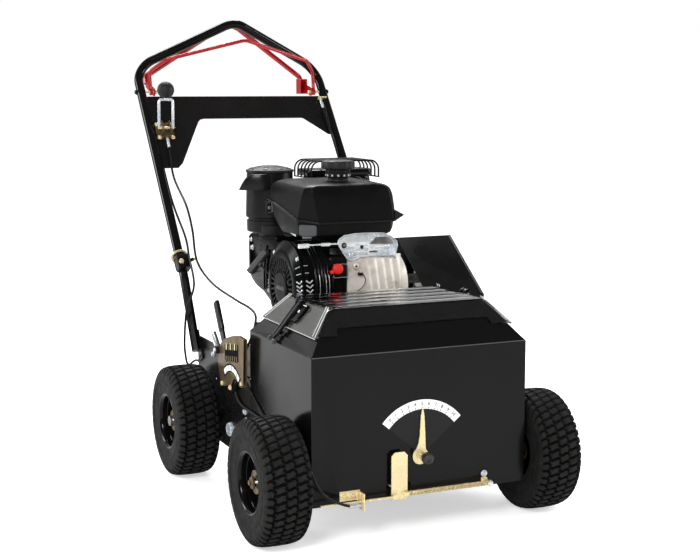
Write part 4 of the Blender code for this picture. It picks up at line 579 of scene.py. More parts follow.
    def beam(self, start, end, width, depth, side=X_AXIS, slot=0, edge=0.0008):
        """A rectangular bar between two points, with its width along side and rounded edges."""
        start, end = np.asarray(start, float), np.asarray(end, float)
        way = unit(end - start)
        side = unit(np.asarray(side, float) - way * (way @ side))
        other = np.cross(way, side)
        corners = [(-width / 2, -depth / 2), (width / 2, -depth / 2), (width / 2, depth / 2),
                   (-width / 2, depth / 2)]
        self.plate(rounded(corners, edge, 4), 0, np.linalg.norm(end - start), (side, other, way), slot, edge,
                   origin=start)

    def bolt(self, at, way, size=0.0055, slot=0, washer=True, nut=None):
        """A hexagon head on a washer, with its underside at a point."""
        at, way = np.asarray(at, float), unit(way)
        thin = size * 0.22 if washer else 0.0
        if washer:
            self.lathe([(0, size * 1.45), (thin * 0.7, size * 1.45), (thin, size * 1.35)], at, way, 24, slot)
        tall = size * 0.75
        head = self.words.index(nut) if nut else slot
        self.lathe([(thin, size * 1.10), (thin + tall * 0.85, size * 1.10), (thin + tall, size * 0.90)], at,
                   way, 6,
                   head)

    def build(self, name, body, replaces=(), merge=0.0, sharp=38):
        """The object of these surfaces, smooth over gentle edges and with its faces outwards."""
        mesh = bpy.data.meshes.new(name)
        mesh.from_pydata((np.vstack(self.verts) + FRONT_AXLE).tolist(), [], self.faces)
        mesh.polygons.foreach_set("material_index", self.slots)
        shaped = bmesh.new()
        shaped.from_mesh(mesh)
        bmesh.ops.remove_doubles(shaped, verts=shaped.verts, dist=merge or 1e-7)
        bmesh.ops.recalc_face_normals(shaped, faces=shaped.faces)
        shaped.to_mesh(mesh)
        shaped.free()
        return settle(name, mesh, self.words, body, replaces, sharp)


def settle(name, mesh, words, body, replaces, sharp=38):
    """Put a mesh in the scene as a piece of a body, in place of the CAD nodes it replaces."""
    mesh.shade_smooth()
    mesh.set_sharp_from_angle(angle=math.radians(sharp))
    for word in words:
        mesh.materials.append(finish(word))
    piece = bpy.data.objects.new(name, mesh)
    bpy.context.scene.collection.objects.link(piece)
    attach(piece, body)
    if replaces:
        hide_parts(*replaces)
    return piece


def dressed(node, body, words, edge=0.0010, zones=(), segments=2, limit=30, name=None, flat=1.0):
    """The CAD node's form with its loose triangles merged and its edges rounded. A zone is a box whose
    faces take another finish."""
    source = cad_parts[node]
    mesh = source.data.copy()
    mesh.materials.clear()
    mesh.transform(source.matrix_world)
    shaped = bmesh.new()
    shaped.from_mesh(mesh)
    bmesh.ops.remove_doubles(shaped, verts=shaped.verts, dist=0.00001)
    if flat:
        bmesh.ops.dissolve_limit(shaped, angle_limit=math.radians(flat), verts=shaped.verts,
                                 edges=shaped.edges)
    bmesh.ops.recalc_face_normals(shaped, faces=shaped.faces)
    words = [words] if isinstance(words, str) else list(words)
    for face in shaped.faces:
        face.material_index = 0
        place = np.array(face.calc_center_median()) - FRONT_AXLE
        for low, high, word in zones:
            if np.all(place >= np.minimum(low, high)) and np.all(place <= np.maximum(low, high)):
                if word not in words:
                    words.append(word)
                face.material_index = words.index(word)
    shaped.to_mesh(mesh)
    shaped.free()
    piece = settle(name or node + "_form", mesh, words, body, (node,), 35)
    if edge:
        rims = piece.modifiers.new("rims", "BEVEL")
        rims.width = edge
        rims.segments = segments
        rims.limit_method = "ANGLE"
        rims.angle_limit = math.radians(limit)
        rims.harden_normals = False
    return piece


def keep(node, word):
    """A CAD node that stays as it is, with a finish of this file in its slots."""
    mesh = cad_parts[node].data
    for index in range(len(mesh.materials)):
        mesh.materials[index] = finish(word)


# Properties

class SeederLooks(bpy.types.PropertyGroup):
    tread_rows: bpy.props.IntProperty(
        name="Tread rows", description="Rows of tread blocks round a tyre", default=46, min=20, max=120)
    tread_depth: bpy.props.FloatProperty(
        name="Tread depth", description="Depth of the grooves between the tread blocks", default=0.0050,
        min=0.0, max=0.008, subtype="DISTANCE", unit="LENGTH")
    lid_ribs: bpy.props.IntProperty(
        name="Lid ribs", description="Ribs that run along the clear lid", default=5, min=1, max=20)
    spring_turns: bpy.props.IntProperty(
        name="Spring turns", description="Coils of the seed gate's spring", default=58, min=10, max=90)
    light_strength: bpy.props.FloatProperty(
        name="Light strength", description="Factor on every lamp of the studio", default=1.0, min=0.0,
        max=4.0)
    sky_strength: bpy.props.FloatProperty(
        name="Sky strength", description="Brightness of the even light from all round", default=0.80,
        min=0.0, max=2.0)


class Maker:
    """What every operator of this file shares."""
    bl_options = {"REGISTER", "UNDO"}

    def execute(self, context):
        self.make(context.scene.seeder_looks)
        return {"FINISHED"}


# Studio

class SEEDER_OT_studio(Maker, bpy.types.Operator):
    """Build the white floor, the lamps, the sky and the camera"""
    bl_idname = "seeder.studio"
    bl_label = "Studio"

    def make(self, looks):
        scene = bpy.context.scene
        scene.view_settings.view_transform = "Standard"
        floor_mesh = bpy.data.meshes.new("studio_floor")
        floor_mesh.from_pydata([(-30, -30, 0), (30, -30, 0), (30, 30, 0), (-30, 30, 0)], [], [(0, 1, 2, 3)])
        floor_mesh.materials.append(self.white())
        floor = bpy.data.objects.new("studio_floor", floor_mesh)
        scene.collection.objects.link(floor)
        self.sky(scene, looks)
        self.lamp("softbox_back_left", (-4.0, 2.6, 2.2), (-0.2, -0.2, 0.4), (1.4, 2.4), 90, looks)
        self.lamp("softbox_key", (-2.8, -3.6, 3.0), (0.0, 0.0, 0.5), (1.2, 1.2), 120, looks)
        self.lamp("softbox_top", (0.4, 2.6, 3.8), (0.0, 0.0, 0.4), (2.4, 1.6), 150, looks)
        self.lamp("softbox_right", (3.8, -1.4, 1.8), (0.0, 0.0, 0.5), (0.8, 2.0), 60, looks)
        camera_data = bpy.data.cameras.new("camera")
        camera_data.lens = 70.215
        camera_data.sensor_width = 36.0
        camera_data.clip_end = 100.0
        camera = bpy.data.objects.new("camera", camera_data)
        camera.location = (-1.3355, -3.21215, 0.9788)
        camera.rotation_euler = (math.radians(90 - 8.08), 0.0, math.radians(-24.16))
        scene.collection.objects.link(camera)
        scene.camera = camera

    def white(self):
        """A floor that is white to the camera and dim in the object's reflections."""
        it = Finish("studio_white", base_color=(0.92, 0.92, 0.92), roughness=0.9, specular_ior_level=0.0,
                    emission_color=(1.0, 1.0, 1.0), emission_strength=0.53)
        dim = it.node("ShaderNodeBsdfDiffuse")
        dim.inputs["Color"].default_value = (0.55, 0.55, 0.55, 1.0)
        mix = it.node("ShaderNodeMixShader")
        it.link(it.node("ShaderNodeLightPath").outputs["Is Glossy Ray"], mix.inputs[0])
        it.link(it.shader.outputs[0], mix.inputs[1])
        it.link(dim.outputs[0], mix.inputs[2])
        it.link(mix.outputs[0], it.tree.nodes["Material Output"].inputs["Surface"])
        return it.material

    def lamp(self, name, place, aim, size, power, looks):
        light = bpy.data.lights.new(name, "AREA")
        light.shape = "RECTANGLE"
        light.size, light.size_y = size
        light.energy = power * looks.light_strength
        lamp = bpy.data.objects.new(name, light)
        lamp.location = place
        lamp.rotation_euler = (Vector(aim) - Vector(place)).to_track_quat("-Z", "Y").to_euler()
        bpy.context.scene.collection.objects.link(lamp)

    def sky(self, scene, looks):
        world = bpy.data.worlds.new("studio_sky")
        scene.world = world
        world.use_nodes = True
        tree = world.node_tree
        ray = tree.nodes.new("ShaderNodeLightPath")
        back = tree.nodes["Background"]
        back.inputs["Color"].default_value = (1.0, 1.0, 1.0, 1.0)
        camera, glossy = Term(tree, ray.outputs["Is Camera Ray"]), Term(tree, ray.outputs["Is Glossy Ray"])
        way = tree.nodes.new("ShaderNodeSeparateXYZ")
        tree.links.new(tree.nodes.new("ShaderNodeTexCoord").outputs["Generated"], way.inputs[0])
        x, y, z = (Term(tree, way.outputs[word]) for word in "XYZ")
        west = x.ramp(-0.35, -0.10, 1.0, 0.0)
        band = z.ramp(-0.30, -0.19, 0.12, 0.95) * z.ramp(-0.165, -0.12, 1.0, 0.30) + z.ramp(0.15, 0.35, 0.0,
                                                                                            0.8)
        east = x.ramp(0.05, 0.25, 0.0, 1.0) * z.ramp(0.02, 0.06, 0.0, 1.0)
        roof = z.ramp(0.07, 0.14, 0.25, 1.0)
        panel = 1.0 + west * (band - 1.0) + east * (roof - 1.0)
        crown = y.ramp(-0.05, 0.10, 0.12, 0.0) * z.ramp(0.50, 0.80, 0.0, 1.0)
        mirror = 0.03 + y.ramp(0.10, 0.75, 0.0, 0.60) * z.ramp(0.40, 0.75, 1.0, 0.10) * panel + crown
        even = looks.sky_strength + glossy * (mirror - looks.sky_strength)
        strength = even + camera * (1.0 - even)
        tree.links.new(strength.socket, back.inputs["Strength"])


# Wheels

def tyre(form, centre, looks):
    """A profile turned round the axle. The radius and the place across follow a smooth curve over the
    profile, and the tread is sunk along its normal where the phase of the rows, which is shifted by half
    a row from one column to the next and waves across a column, is near a whole number."""
    outer = np.array([(0.0440, 0.0642), (0.0492, 0.0700), (0.0510, 0.0850), (0.0533, 0.1050),
                      (0.0528, 0.1180),
                      (0.0490, 0.1300), (0.0415, 0.1362), (0.0250, 0.1390), (0.0, 0.1397)])
    half = spline(np.hstack((outer, np.zeros((len(outer), 1)))), 0.0016)[:, :2]
    profile = np.vstack((half, half[-2::-1] * (-1, 1)))
    slope = np.gradient(profile, axis=0)
    slope /= np.linalg.norm(slope, axis=1, keepdims=True)
    normal = np.stack((slope[:, 1], -slope[:, 0]), -1)
    turn = np.arange(looks.tread_rows * 11) * 2 * math.pi / (looks.tread_rows * 11)
    x, radius, angle = profile[:, 0][:, None], profile[:, 1][:, None], turn[None, :]
    column = np.round(x / 0.0250)
    wave = 0.10 * np.sin(x / 0.0250 * 2 * math.pi)
    phase = looks.tread_rows * angle / (2 * math.pi) + 0.5 * (column % 2) + wave
    across_row = np.abs((phase % 1) - 0.5) * 2
    rows = np.clip((across_row - 0.64) / 0.14, 0, 1)
    wander = 0.0016 * np.sin(looks.tread_rows * angle * 2 + column * math.pi)
    seams = np.max([1 - np.clip((np.abs(x + wander - edge) - 0.0016) / 0.0012, 0, 1)
                    for edge in (-0.0375, -0.0125, 0.0125, 0.0375)], axis=0)
    sunk = np.maximum(rows, seams)
    sunk = sunk * sunk * (3 - 2 * sunk)
    fade = np.clip((radius - 0.1195) / 0.010, 0, 1)
    on_wall = (radius > 0.083) & (radius < 0.1050)
    ridges = 0.0004 * np.sin((radius - 0.0850) / 0.0030 * 2 * math.pi) * on_wall
    depth = -looks.tread_depth * sunk * fade + ridges
    place = x + depth * normal[:, 0][:, None] * np.ones_like(angle)
    reach = radius + depth * normal[:, 1][:, None]
    points = np.stack((place, reach * np.cos(angle), reach * np.sin(angle)), -1) + np.array(centre)
    base = np.array([(-0.0425, 0.0642), (0.0425, 0.0642)])
    ring = np.stack(np.broadcast_arrays(base[:, 0][:, None], base[:, 1][:, None] * np.cos(angle),
                                        base[:, 1][:, None] * np.sin(angle)), -1) + np.array(centre)
    start = len(form.slots)
    form.grid(np.vstack((points, ring)), loop=True)
    # Painted shade: faces sunk deep into the grooves take the darker groove finish, which stands in for the
    # shade in the grooves.
    groove = np.zeros((len(points) + 2, angle.shape[1]), int)
    groove[:len(points)] = sunk * fade > 0.5
    form.slots[start:] = groove.ravel().tolist()


def rim(form, centre, side):
    """The dished rim, its valve, and the plated hub flange."""
    half = [(0.0470, 0.0660), (0.0478, 0.0700), (0.0488, 0.0703), (0.0494, 0.0692), (0.0490, 0.0668),
            (0.0468, 0.0640), (0.0440, 0.0620), (0.0400, 0.0612), (0.0300, 0.0608), (0.0290, 0.0598),
            (0.0180, 0.0594), (0.0100, 0.0586), (0.0060, 0.0560), (0.0040, 0.0510), (0.0030, 0.0400),
            (0.0030, 0.0130)]
    loop = half + [(-along, radius) for along, radius in half[::-1]] + [(-0.0430, 0.0636), (0.0430, 0.0636)]
    form.lathe(loop, centre, X_AXIS, 64, "gloss_black", loop=True)
    centre = np.array(centre)
    for way in (side, -side):
        face = centre + X_AXIS * way * 0.0030
        form.lathe([(0, 0.0190), (0.0060, 0.0185), (0.0090, 0.0160), (0.0270, 0.0150)], face, X_AXIS * way,
                   32,
                   "gloss_black")
        holes = [circle((centre[1] + 0.0158 * math.cos(turn), centre[2] + 0.0158 * math.sin(turn)), 0.0036,
                        14)
                 for turn in (0.5, 2.07, 3.64, 5.21)]
        level = centre[0] + way * np.array((0.0300, 0.0318))
        form.plate(circle(centre[1:], 0.0262, 44), *level, "X", "olive_zinc", 0.0004, holes)
        form.lathe([(0, 0.0092), (0.0026, 0.0090), (0.0034, 0.0080)], centre + X_AXIS * way * 0.0318,
                   X_AXIS * way,
                   28, "yellow_zinc")
    valve = centre + np.array((side * 0.0060, -0.0460, 0.0140))
    form.sweep(spline([valve, valve + (side * 0.012, 0.001, 0), valve + (side * 0.030, 0.010, -0.003)],
                      0.004),
               0.0033, "soft_rubber", 12)
    tip = valve + (side * 0.030, 0.010, -0.003)
    form.rod(tip, tip + unit((side * 0.9, 0.42, -0.1)) * 0.008, 0.0029, "bright_zinc", 12)


class SEEDER_OT_wheels(Maker, bpy.types.Operator):
    """Build the four turf tyres and their rims"""
    bl_idname = "seeder.wheels"
    bl_label = "Wheels"

    def make(self, looks):
        for y, word in ((0.0, "front"), (REAR_AXLE_Y, "rear")):
            for side, hand in ((-1, "right"), (1, "left")):
                body = f"front_{hand}_wheel" if word == "front" else "rear_wheels"
                centre = (side * TRACK / 2, y, AXLE_Z)
                rubber = Form("tyre_rubber", "groove_rubber")
                tyre(rubber, centre, looks)
                rubber.build(f"{word}_{hand}_turf_tyre", body, (f"{word}_tyre_{hand}",), sharp=50)
                metal = Form("gloss_black", "yellow_zinc", "soft_rubber", "bright_zinc", "olive_zinc")
                rim(metal, centre, side)
                metal.build(f"{word}_{hand}_rim", body, (f"{word}_wheel_{hand}",))


# Hopper

class SEEDER_OT_hopper(Maker, bpy.types.Operator):
    """Build the hopper's folded sheets and the printed rate dial"""
    bl_idname = "seeder.hopper"
    bl_label = "Hopper"

    def make(self, looks):
        gold = "yellow_zinc"
        dressed("hopper_shell", "chassis", "gloss_black", 0.0022,
                [((0.150, -0.115, 0.085), (0.170, -0.0742, 0.115), gold),
                 ((-0.200, -0.115, 0.075), (-0.149, -0.0742, 0.1185), gold)])
        trim = Form("grey_plastic", "grey_print", "bright_zinc")
        self.trim(trim)
        trim.build("hopper_fold_highlights", "chassis")
        self.dial()

    def trim(self, form):
        """Painted highlights on the folds of the sheet: thin light grey rounds on the corners stand in for
        the light the folds catch.
        """
        wide, face = 0.2612, HOPPER_FACE_Y
        form.sweep([(-wide + 0.002, face + 0.0004, 0.4135), (wide - 0.002, face + 0.0004, 0.4135)], 0.0012, 0,
                   8)
        form.sweep([(-wide + 0.0006, face + 0.0006, 0.1300), (-wide + 0.0006, face + 0.0006, 0.4100)], 0.0009,
                   1, 8)
        form.sweep([(-wide + 0.0006, face + 0.0050, 0.4135), (-wide + 0.0006, 0.2990, 0.4135)], 0.0010, 1, 8)

    def dial(self):
        """The printed sector round the pointer's pivot: a white band with numbers over a dark field."""
        form = Form("white_print", "grey_print", "gloss_black")
        face = -HOPPER_FACE_Y
        pivot = (0.0, DIAL_Z)
        band = np.vstack((arc(pivot, 0.1040, 40, 140, 40), arc(pivot, 0.1250, 140, 40, 40)))
        field = np.vstack((arc(pivot, 0.0210, 40, 140, 12), arc(pivot, 0.1036, 140, 40, 40)))
        form.plate(field, face - 0.0002, face + 0.0003, "Y", "grey_print", 0)
        form.plate(band, face - 0.0002, face + 0.0004, "Y", "white_print", 0)
        for step in range(21):
            angle = math.radians(48 + 84 * step / 20)
            way = np.array((math.cos(angle), math.sin(angle)))
            side = np.array((-way[1], way[0])) * (0.0006 if step % 2 == 0 else 0.0004)
            mark_end = 0.1092 if step % 2 == 0 else 0.1070
            near, far = np.array(pivot) + way * 0.1046, np.array(pivot) + way * mark_end
            form.plate(np.array((near - side, near + side, far + side, far - side)), face + 0.0001,
                       face + 0.0007,
                       "Y", "gloss_black", 0)
        form.build("dial_print", "chassis")
        for step in range(11):
            angle = math.radians(132 - 84 * step / 10)
            self.number(str(step), angle, 0.1125, 0.0105)

    def number(self, text, angle, reach, size):
        """A plain number that stands on the white band, upright towards the pivot."""
        curve = bpy.data.curves.new("dial_number", "FONT")
        curve.body = text
        curve.size = size
        curve.align_x = "CENTER"
        curve.extrude = 0.0002
        source = bpy.data.objects.new("dial_number", curve)
        bpy.context.scene.collection.objects.link(source)
        bpy.context.view_layer.update()
        evaluated = source.evaluated_get(bpy.context.evaluated_depsgraph_get())
        mesh = bpy.data.meshes.new_from_object(evaluated)
        bpy.data.objects.remove(source, do_unlink=True)
        place = np.array((math.cos(angle) * reach, HOPPER_FACE_Y - 0.0006, DIAL_Z + math.sin(angle) * reach))
        turn = Matrix.Rotation(math.pi / 2 - angle, 4, "Y") @ Matrix.Rotation(math.pi / 2, 4, "X")
        mesh.transform(Matrix.Translation(Vector(place + FRONT_AXLE)) @ turn)
        shaped = bmesh.new()
        shaped.from_mesh(mesh)
        bmesh.ops.remove_doubles(shaped, verts=shaped.verts, dist=0.000001)
        bmesh.ops.recalc_face_normals(shaped, faces=shaped.faces)
        shaped.to_mesh(mesh)
        shaped.free()
        settle(f"dial_number_{text}", mesh, ["gloss_black"], "chassis", ())


# Lid

class SEEDER_OT_lid(Maker, bpy.types.Operator):
    """Build the clear ribbed lid and its two rubber latches"""
    bl_idname = "seeder.lid"
    bl_label = "Lid"

    def make(self, looks):
        form = Form("clear_plastic", "clear_edge", "clear_haze")
        self.roof(form, looks)
        self.folds(form)
        form.build("clear_lid", "lid", ("hopper_lid",), sharp=60)
        for side, hand in ((-1, "right"), (1, "left")):
            base = Form("gloss_black", "bright_zinc", "clear_edge")
            self.latch_base(base, side)
            base.build(f"latch_base_{hand}", "lid")
            strap = Form("gloss_black", "grey_plastic", "bright_zinc")
            self.latch(strap, side)
            strap.build(f"latch_strap_{hand}", f"latch_{hand}", (f"lid_latch_{hand}",))

    def roof(self, form, looks):
        """Height over the plan: the least of a ribbed top and four sloping sides, with soft folds. The
        inner skin lies a wall below it. The front edge steps up between the corner tabs."""
        gap, wall = 0.0015, 0.0027
        top = 0.5003 + wall

        def slope(run, rise, inset):
            return -rise / run * inset

        def height(x, y, lift):
            sides = np.stack((
                0.5000 + slope(0.0790, 0.0870, np.abs(x) - 0.1900),
                0.5000 + slope(0.0740, 0.0870, -y),
                0.5000 + slope(0.0790, 0.0870, y - 0.2220)), 0) + (gap + lift) * 1.60
            inside = np.clip((0.1760 - np.abs(x)) / 0.006, 0, 1) * np.clip((y - 0.006) / 0.004, 0, 1)
            inside = inside * np.clip((0.216 - y) / 0.004, 0, 1)
            wave = 0.5 + 0.5 * np.cos((y - 0.111) / 0.222 * looks.lid_ribs * 2 * math.pi)
            flat = top - wall + lift + 0.0022 * inside * wave
            crest = np.minimum(sides.min(0), 1)
            soft = 0.0022
            return -soft * np.log(np.exp(-(flat - 0.5) / soft) + np.exp(-(crest - 0.5) / soft)) + 0.5

        half = 0.2365 + (gap + wall) * 1.25
        back = 0.2655 + (gap + wall) * 1.25
        low_front = -0.0408 - (gap + wall) * 1.25
        x = np.concatenate((np.linspace(-half, -0.184, 16), np.linspace(-0.183, 0.183, 60),
                            np.linspace(0.184, half, 16)))
        step = np.clip((0.1880 - np.abs(x)) / 0.004, 0, 1)
        front = low_front + 0.0122 * step
        t = np.linspace(0, 1, 190)[:, None]
        y = front[None, :] + (back - front[None, :]) * t
        x = np.broadcast_to(x, y.shape)
        outer = np.stack((x, y, height(x, y, wall)), -1)
        shrink = (half - 0.0016) / half
        inner_x, middle = x * shrink, (front[None, :] + back) / 2
        inner_y = middle + (y - middle) * (1 - 0.0032 / (back - front[None, :]))
        inner = np.stack((inner_x, inner_y, height(inner_x, inner_y, 0.0) - 0.0002), -1)
        form.grid(outer, 0, ring=False)
        start = len(form.slots)
        form.grid(inner, 0, ring=False)
        # Painted reflection: the inner skin under the outward side slopes takes the grey sheen finish, which
        # stands in for the reflection that makes these slopes look greyer.
        middles = (inner[:-1, :-1] + inner[1:, 1:]) / 2
        outward = np.abs(middles[..., 0]) - 0.1905
        painted_sheen_faces = (outward > 0) & (outward > -middles[..., 1]) & (outward > middles[..., 1] - 0.2220)
        form.slots[start:] = np.where(painted_sheen_faces, 2, 0).ravel().tolist()

        def border(skin):
            return np.vstack((skin[0, :-1], skin[:-1, -1], skin[-1, :0:-1], skin[:0:-1, 0]))

        # Painted highlight: the lid's cut edges, apart from the front edge, take the pale edge finish.
        start = len(form.slots)
        form.grid(np.array((border(outer), border(inner))), 1, caps=False)
        form.slots[start:start + outer.shape[1] - 1] = [0] * (outer.shape[1] - 1)

    def folds(self, form):
        """Pairs of round beads beside the four corner folds, in the pale edge finish: painted highlights
        along the folds.
        """
        for side in (-1, 1):
            for near, far, way in (((0.1900, 0.0000), (0.2400, -0.0430), 1),
                                   ((0.1900, 0.2220), (0.2400, 0.2690), -1)):
                top = np.array((side * near[0], near[1], 0.5072))
                low = np.array((side * far[0], far[1], 0.4520))
                form.rod(top, low, 0.0009, 1, 12)
                form.rod(top + (0, way * 0.0100, 0.0), low + (0, way * 0.0130, 0.0), 0.0008, 1, 12)

    def latch_base(self, form, side):
        """The long plate on the lid's side slope, its ears, its pin and its rivet."""
        pivot = np.array((side * 0.2086, LATCH_Y, 0.5026))
        slope = unit((side * 0.0790, 0, -0.0870))
        normal = np.array((-slope[2] * side, 0, abs(slope[0])))
        skin = np.array((side * 0.1900, LATCH_Y, 0.5000)) + normal * 0.0075
        plane = (Y_AXIS, slope, normal)
        outline = rounded([(-0.0330, 0.0080), (0.0060, 0.0080), (0.0060, 0.0560), (-0.0240, 0.0560),
                           (-0.0330, 0.0480)],
                          0.003)
        form.plate(outline, -0.0030, 0.0030, plane, 0, 0.0010, origin=skin)
        # Painted highlight: a thin pale strip on the plate in the edge finish.
        form.plate(rounded([(-0.0300, 0.0110), (0.0040, 0.0110), (0.0040, 0.0135), (-0.0300, 0.0135)],
                           0.0008),
                   0.0024, 0.0036, plane, "clear_edge", 0.0003, origin=skin)
        for shift in (-0.0105, 0.0105):
            ear = rounded([(0.0030, 0.0), (0.0200, 0.0), (0.0180, 0.0140), (0.0060, 0.0150)], 0.004)
            form.plate(ear, shift - 0.002, shift + 0.002, (slope, normal, -side * Y_AXIS), 0, 0.0006,
                       origin=skin)
        form.rod(pivot - Y_AXIS * 0.014, pivot + Y_AXIS * 0.014, 0.0028, 0)
        form.lathe([(0, 0.0034), (0.0012, 0.0032), (0.0020, 0.0020)],
                   skin + slope * 0.030 + normal * 0.0028 - Y_AXIS * 0.0150, normal, 16, "bright_zinc")

    def latch(self, form, side):
        """A flat strap with two raised rails, an eye at its pivot and a cross bar with rollers at its end."""
        pivot = np.array((side * 0.2086, LATCH_Y, 0.5026))
        start = pivot + np.array((side * 0.0040, 0.0060, -0.0050))
        end = np.array((side * 0.2690, LATCH_Y + 0.0200, 0.4200))
        way = unit(end - start)
        out = unit(np.cross(way, Y_AXIS) * side)
        out = out if out[2] > 0 else -out
        across = unit(np.cross(out, way))
        form.beam(start - way * 0.010, end - way * 0.014, 0.0225, 0.0060, across, 0, 0.0016)
        for shift in (-0.0062, 0.0062):
            form.beam(start - way * 0.006 + across * shift + out * 0.0034, end - way * 0.012 + across * shift
                      + out * 0.0034, 0.0022, 0.0024, across, "grey_plastic", 0.0006)
        form.beam(start - way * 0.008 - across * 0.007 + out * 0.0034, start - way * 0.008 + across * 0.007
                  + out * 0.0034, 0.0022, 0.0024, way, "grey_plastic", 0.0006)
        form.beam(end - way * 0.020, end + way * 0.001, 0.0110, 0.0050, across, 0, 0.0012)
        form.rod(pivot - Y_AXIS * 0.008, pivot + Y_AXIS * 0.010, 0.0056, 0)
        form.rod(end - across * 0.0165, end + across * 0.0165, 0.0038, 0)
        for shift in (-0.0150, 0.0150):
            form.rod(end + across * (shift - 0.0030), end + across * (shift + 0.0030), 0.0056, "grey_plastic")


# Seed gate

class SEEDER_OT_gate(Maker, bpy.types.Operator):
    """Build the seed gate's arm and rod, its spring and anchor, the pointer and the dial knob"""
    bl_idname = "seeder.gate"
    bl_label = "Seed gate"

    def make(self, looks):
        dressed("gate_slide", "gate", "yellow_zinc", 0.0004)
        form = Form("yellow_zinc", "satin_black", "bright_zinc")
        for x, z in ((-0.0740, 0.0975), (-0.0470, 0.1010)):
            form.bolt((x, -0.0881, z), -Y_AXIS, 0.0042, 0, nut="satin_black")
        form.build("gate_bolts", "gate")
        coil = Form("yellow_zinc")
        coil.coil((-0.0402, -0.0945, 0.1010), (0.1535, -0.0945, 0.1010), 0.0050, 0.00085, looks.spring_turns,
                  0, 6)
        coil.build("gate_coil_spring", "chassis", ("gate_spring",))
        anchor = Form("yellow_zinc", "bright_zinc", "smooth_plastic")
        anchor.lathe([(-0.0010, 0.0105), (0.0010, 0.0105), (0.0014, 0.0098)], (0.1568, HOPPER_FACE_Y, 0.1180),
                     -Y_AXIS, 28, "smooth_plastic")
        bracket_face = HOPPER_FACE_Y - 0.0020
        for at, way, size, word in (
                ((0.1568, HOPPER_FACE_Y - 0.0012, 0.1180), -Y_AXIS, 0.0055, "bright_zinc"),
                ((0.1580, -0.1030, 0.1010), (0, -1, -0.1), 0.0045, "bright_zinc"),
                ((0.1620, -0.0960, 0.1010), X_AXIS, 0.0045, "bright_zinc"),
                ((-0.1860, bracket_face, 0.1075), -Y_AXIS, 0.0042, "yellow_zinc"),
                ((-0.1660, bracket_face, 0.1075), -Y_AXIS, 0.0042, "yellow_zinc")):
            anchor.bolt(at, way, size, word)
        anchor.build("gate_hardware", "chassis")
        needle = Form("yellow_zinc")
        self.pointer(needle)
        needle.build("tapered_rate_pointer", "pointer", ("rate_pointer",))
        knob = Form("amber_black", "brass", "bright_zinc")
        self.knob(knob)
        knob.build("ribbed_dial_knob", "dial_clamp", ("dial_knob",))

    def pointer(self, form):
        """A blade that tapers to its tip and widens below into a round cam beside the pivot."""
        cam_x, cam_radius, gap, thickness = -0.0045, 0.0190, 0.0022, 0.0020
        turn = np.radians(np.linspace(123.6, 406.8, 30))
        cam = np.column_stack((cam_radius * np.cos(turn) + cam_x, cam_radius * np.sin(turn) + DIAL_Z))
        edge = [(0.0068, 0.2220), (0.0042, 0.2660), (0.0020, 0.2780)]
        blade = [(0.0075, 0.2000), *edge, (0.0, 0.2880), *[(-x, z) for x, z in edge[::-1]], (-0.0095, 0.2060)]
        back = gap - HOPPER_FACE_Y
        form.plate(np.vstack((cam, blade)), back, back + thickness, "Y", 0, 0.0003)

    def knob(self, form):
        """A knob whose radius waves ten times round its axis, on a brass nut with rings."""
        face = HOPPER_FACE_Y - 0.0042 - 0.0003
        turn = np.arange(120) * 2 * math.pi / 120
        profile = np.array([(0.0160, 0.0090), (0.0165, 0.0125), (0.0190, 0.0134), (0.0280, 0.0134),
                            (0.0300, 0.0125),
                            (0.0308, 0.0105), (0.0300, 0.0090)])
        lobes = 1 - 0.075 * (0.5 + 0.5 * np.cos(turn * 10)) ** 2
        radius = profile[:, 1:] * np.where(profile[:, 1:] > 0.0100, lobes[None, :], 1.0)
        points = np.stack((radius * np.cos(turn), np.broadcast_to(face - profile[:, :1], radius.shape),
                           DIAL_Z + radius * np.sin(turn)), -1)
        form.grid(points, "amber_black")
        rings = [(0, 0.0082), (0.0008, 0.0090), (0.0026, 0.0090), (0.0034, 0.0078), (0.0050, 0.0078),
                 (0.0058, 0.0088),
                 (0.0080, 0.0088), (0.0088, 0.0072), (0.0120, 0.0072), (0.0126, 0.0084), (0.0150, 0.0084),
                 (0.0156, 0.0070), (0.0180, 0.0066)]
        form.lathe(rings, (0, face, DIAL_Z), -Y_AXIS, 32, "brass")
        form.rod((0, face - 0.001, DIAL_Z), (0, HOPPER_FACE_Y + 0.008, DIAL_Z), 0.0040, "bright_zinc")


# Chassis

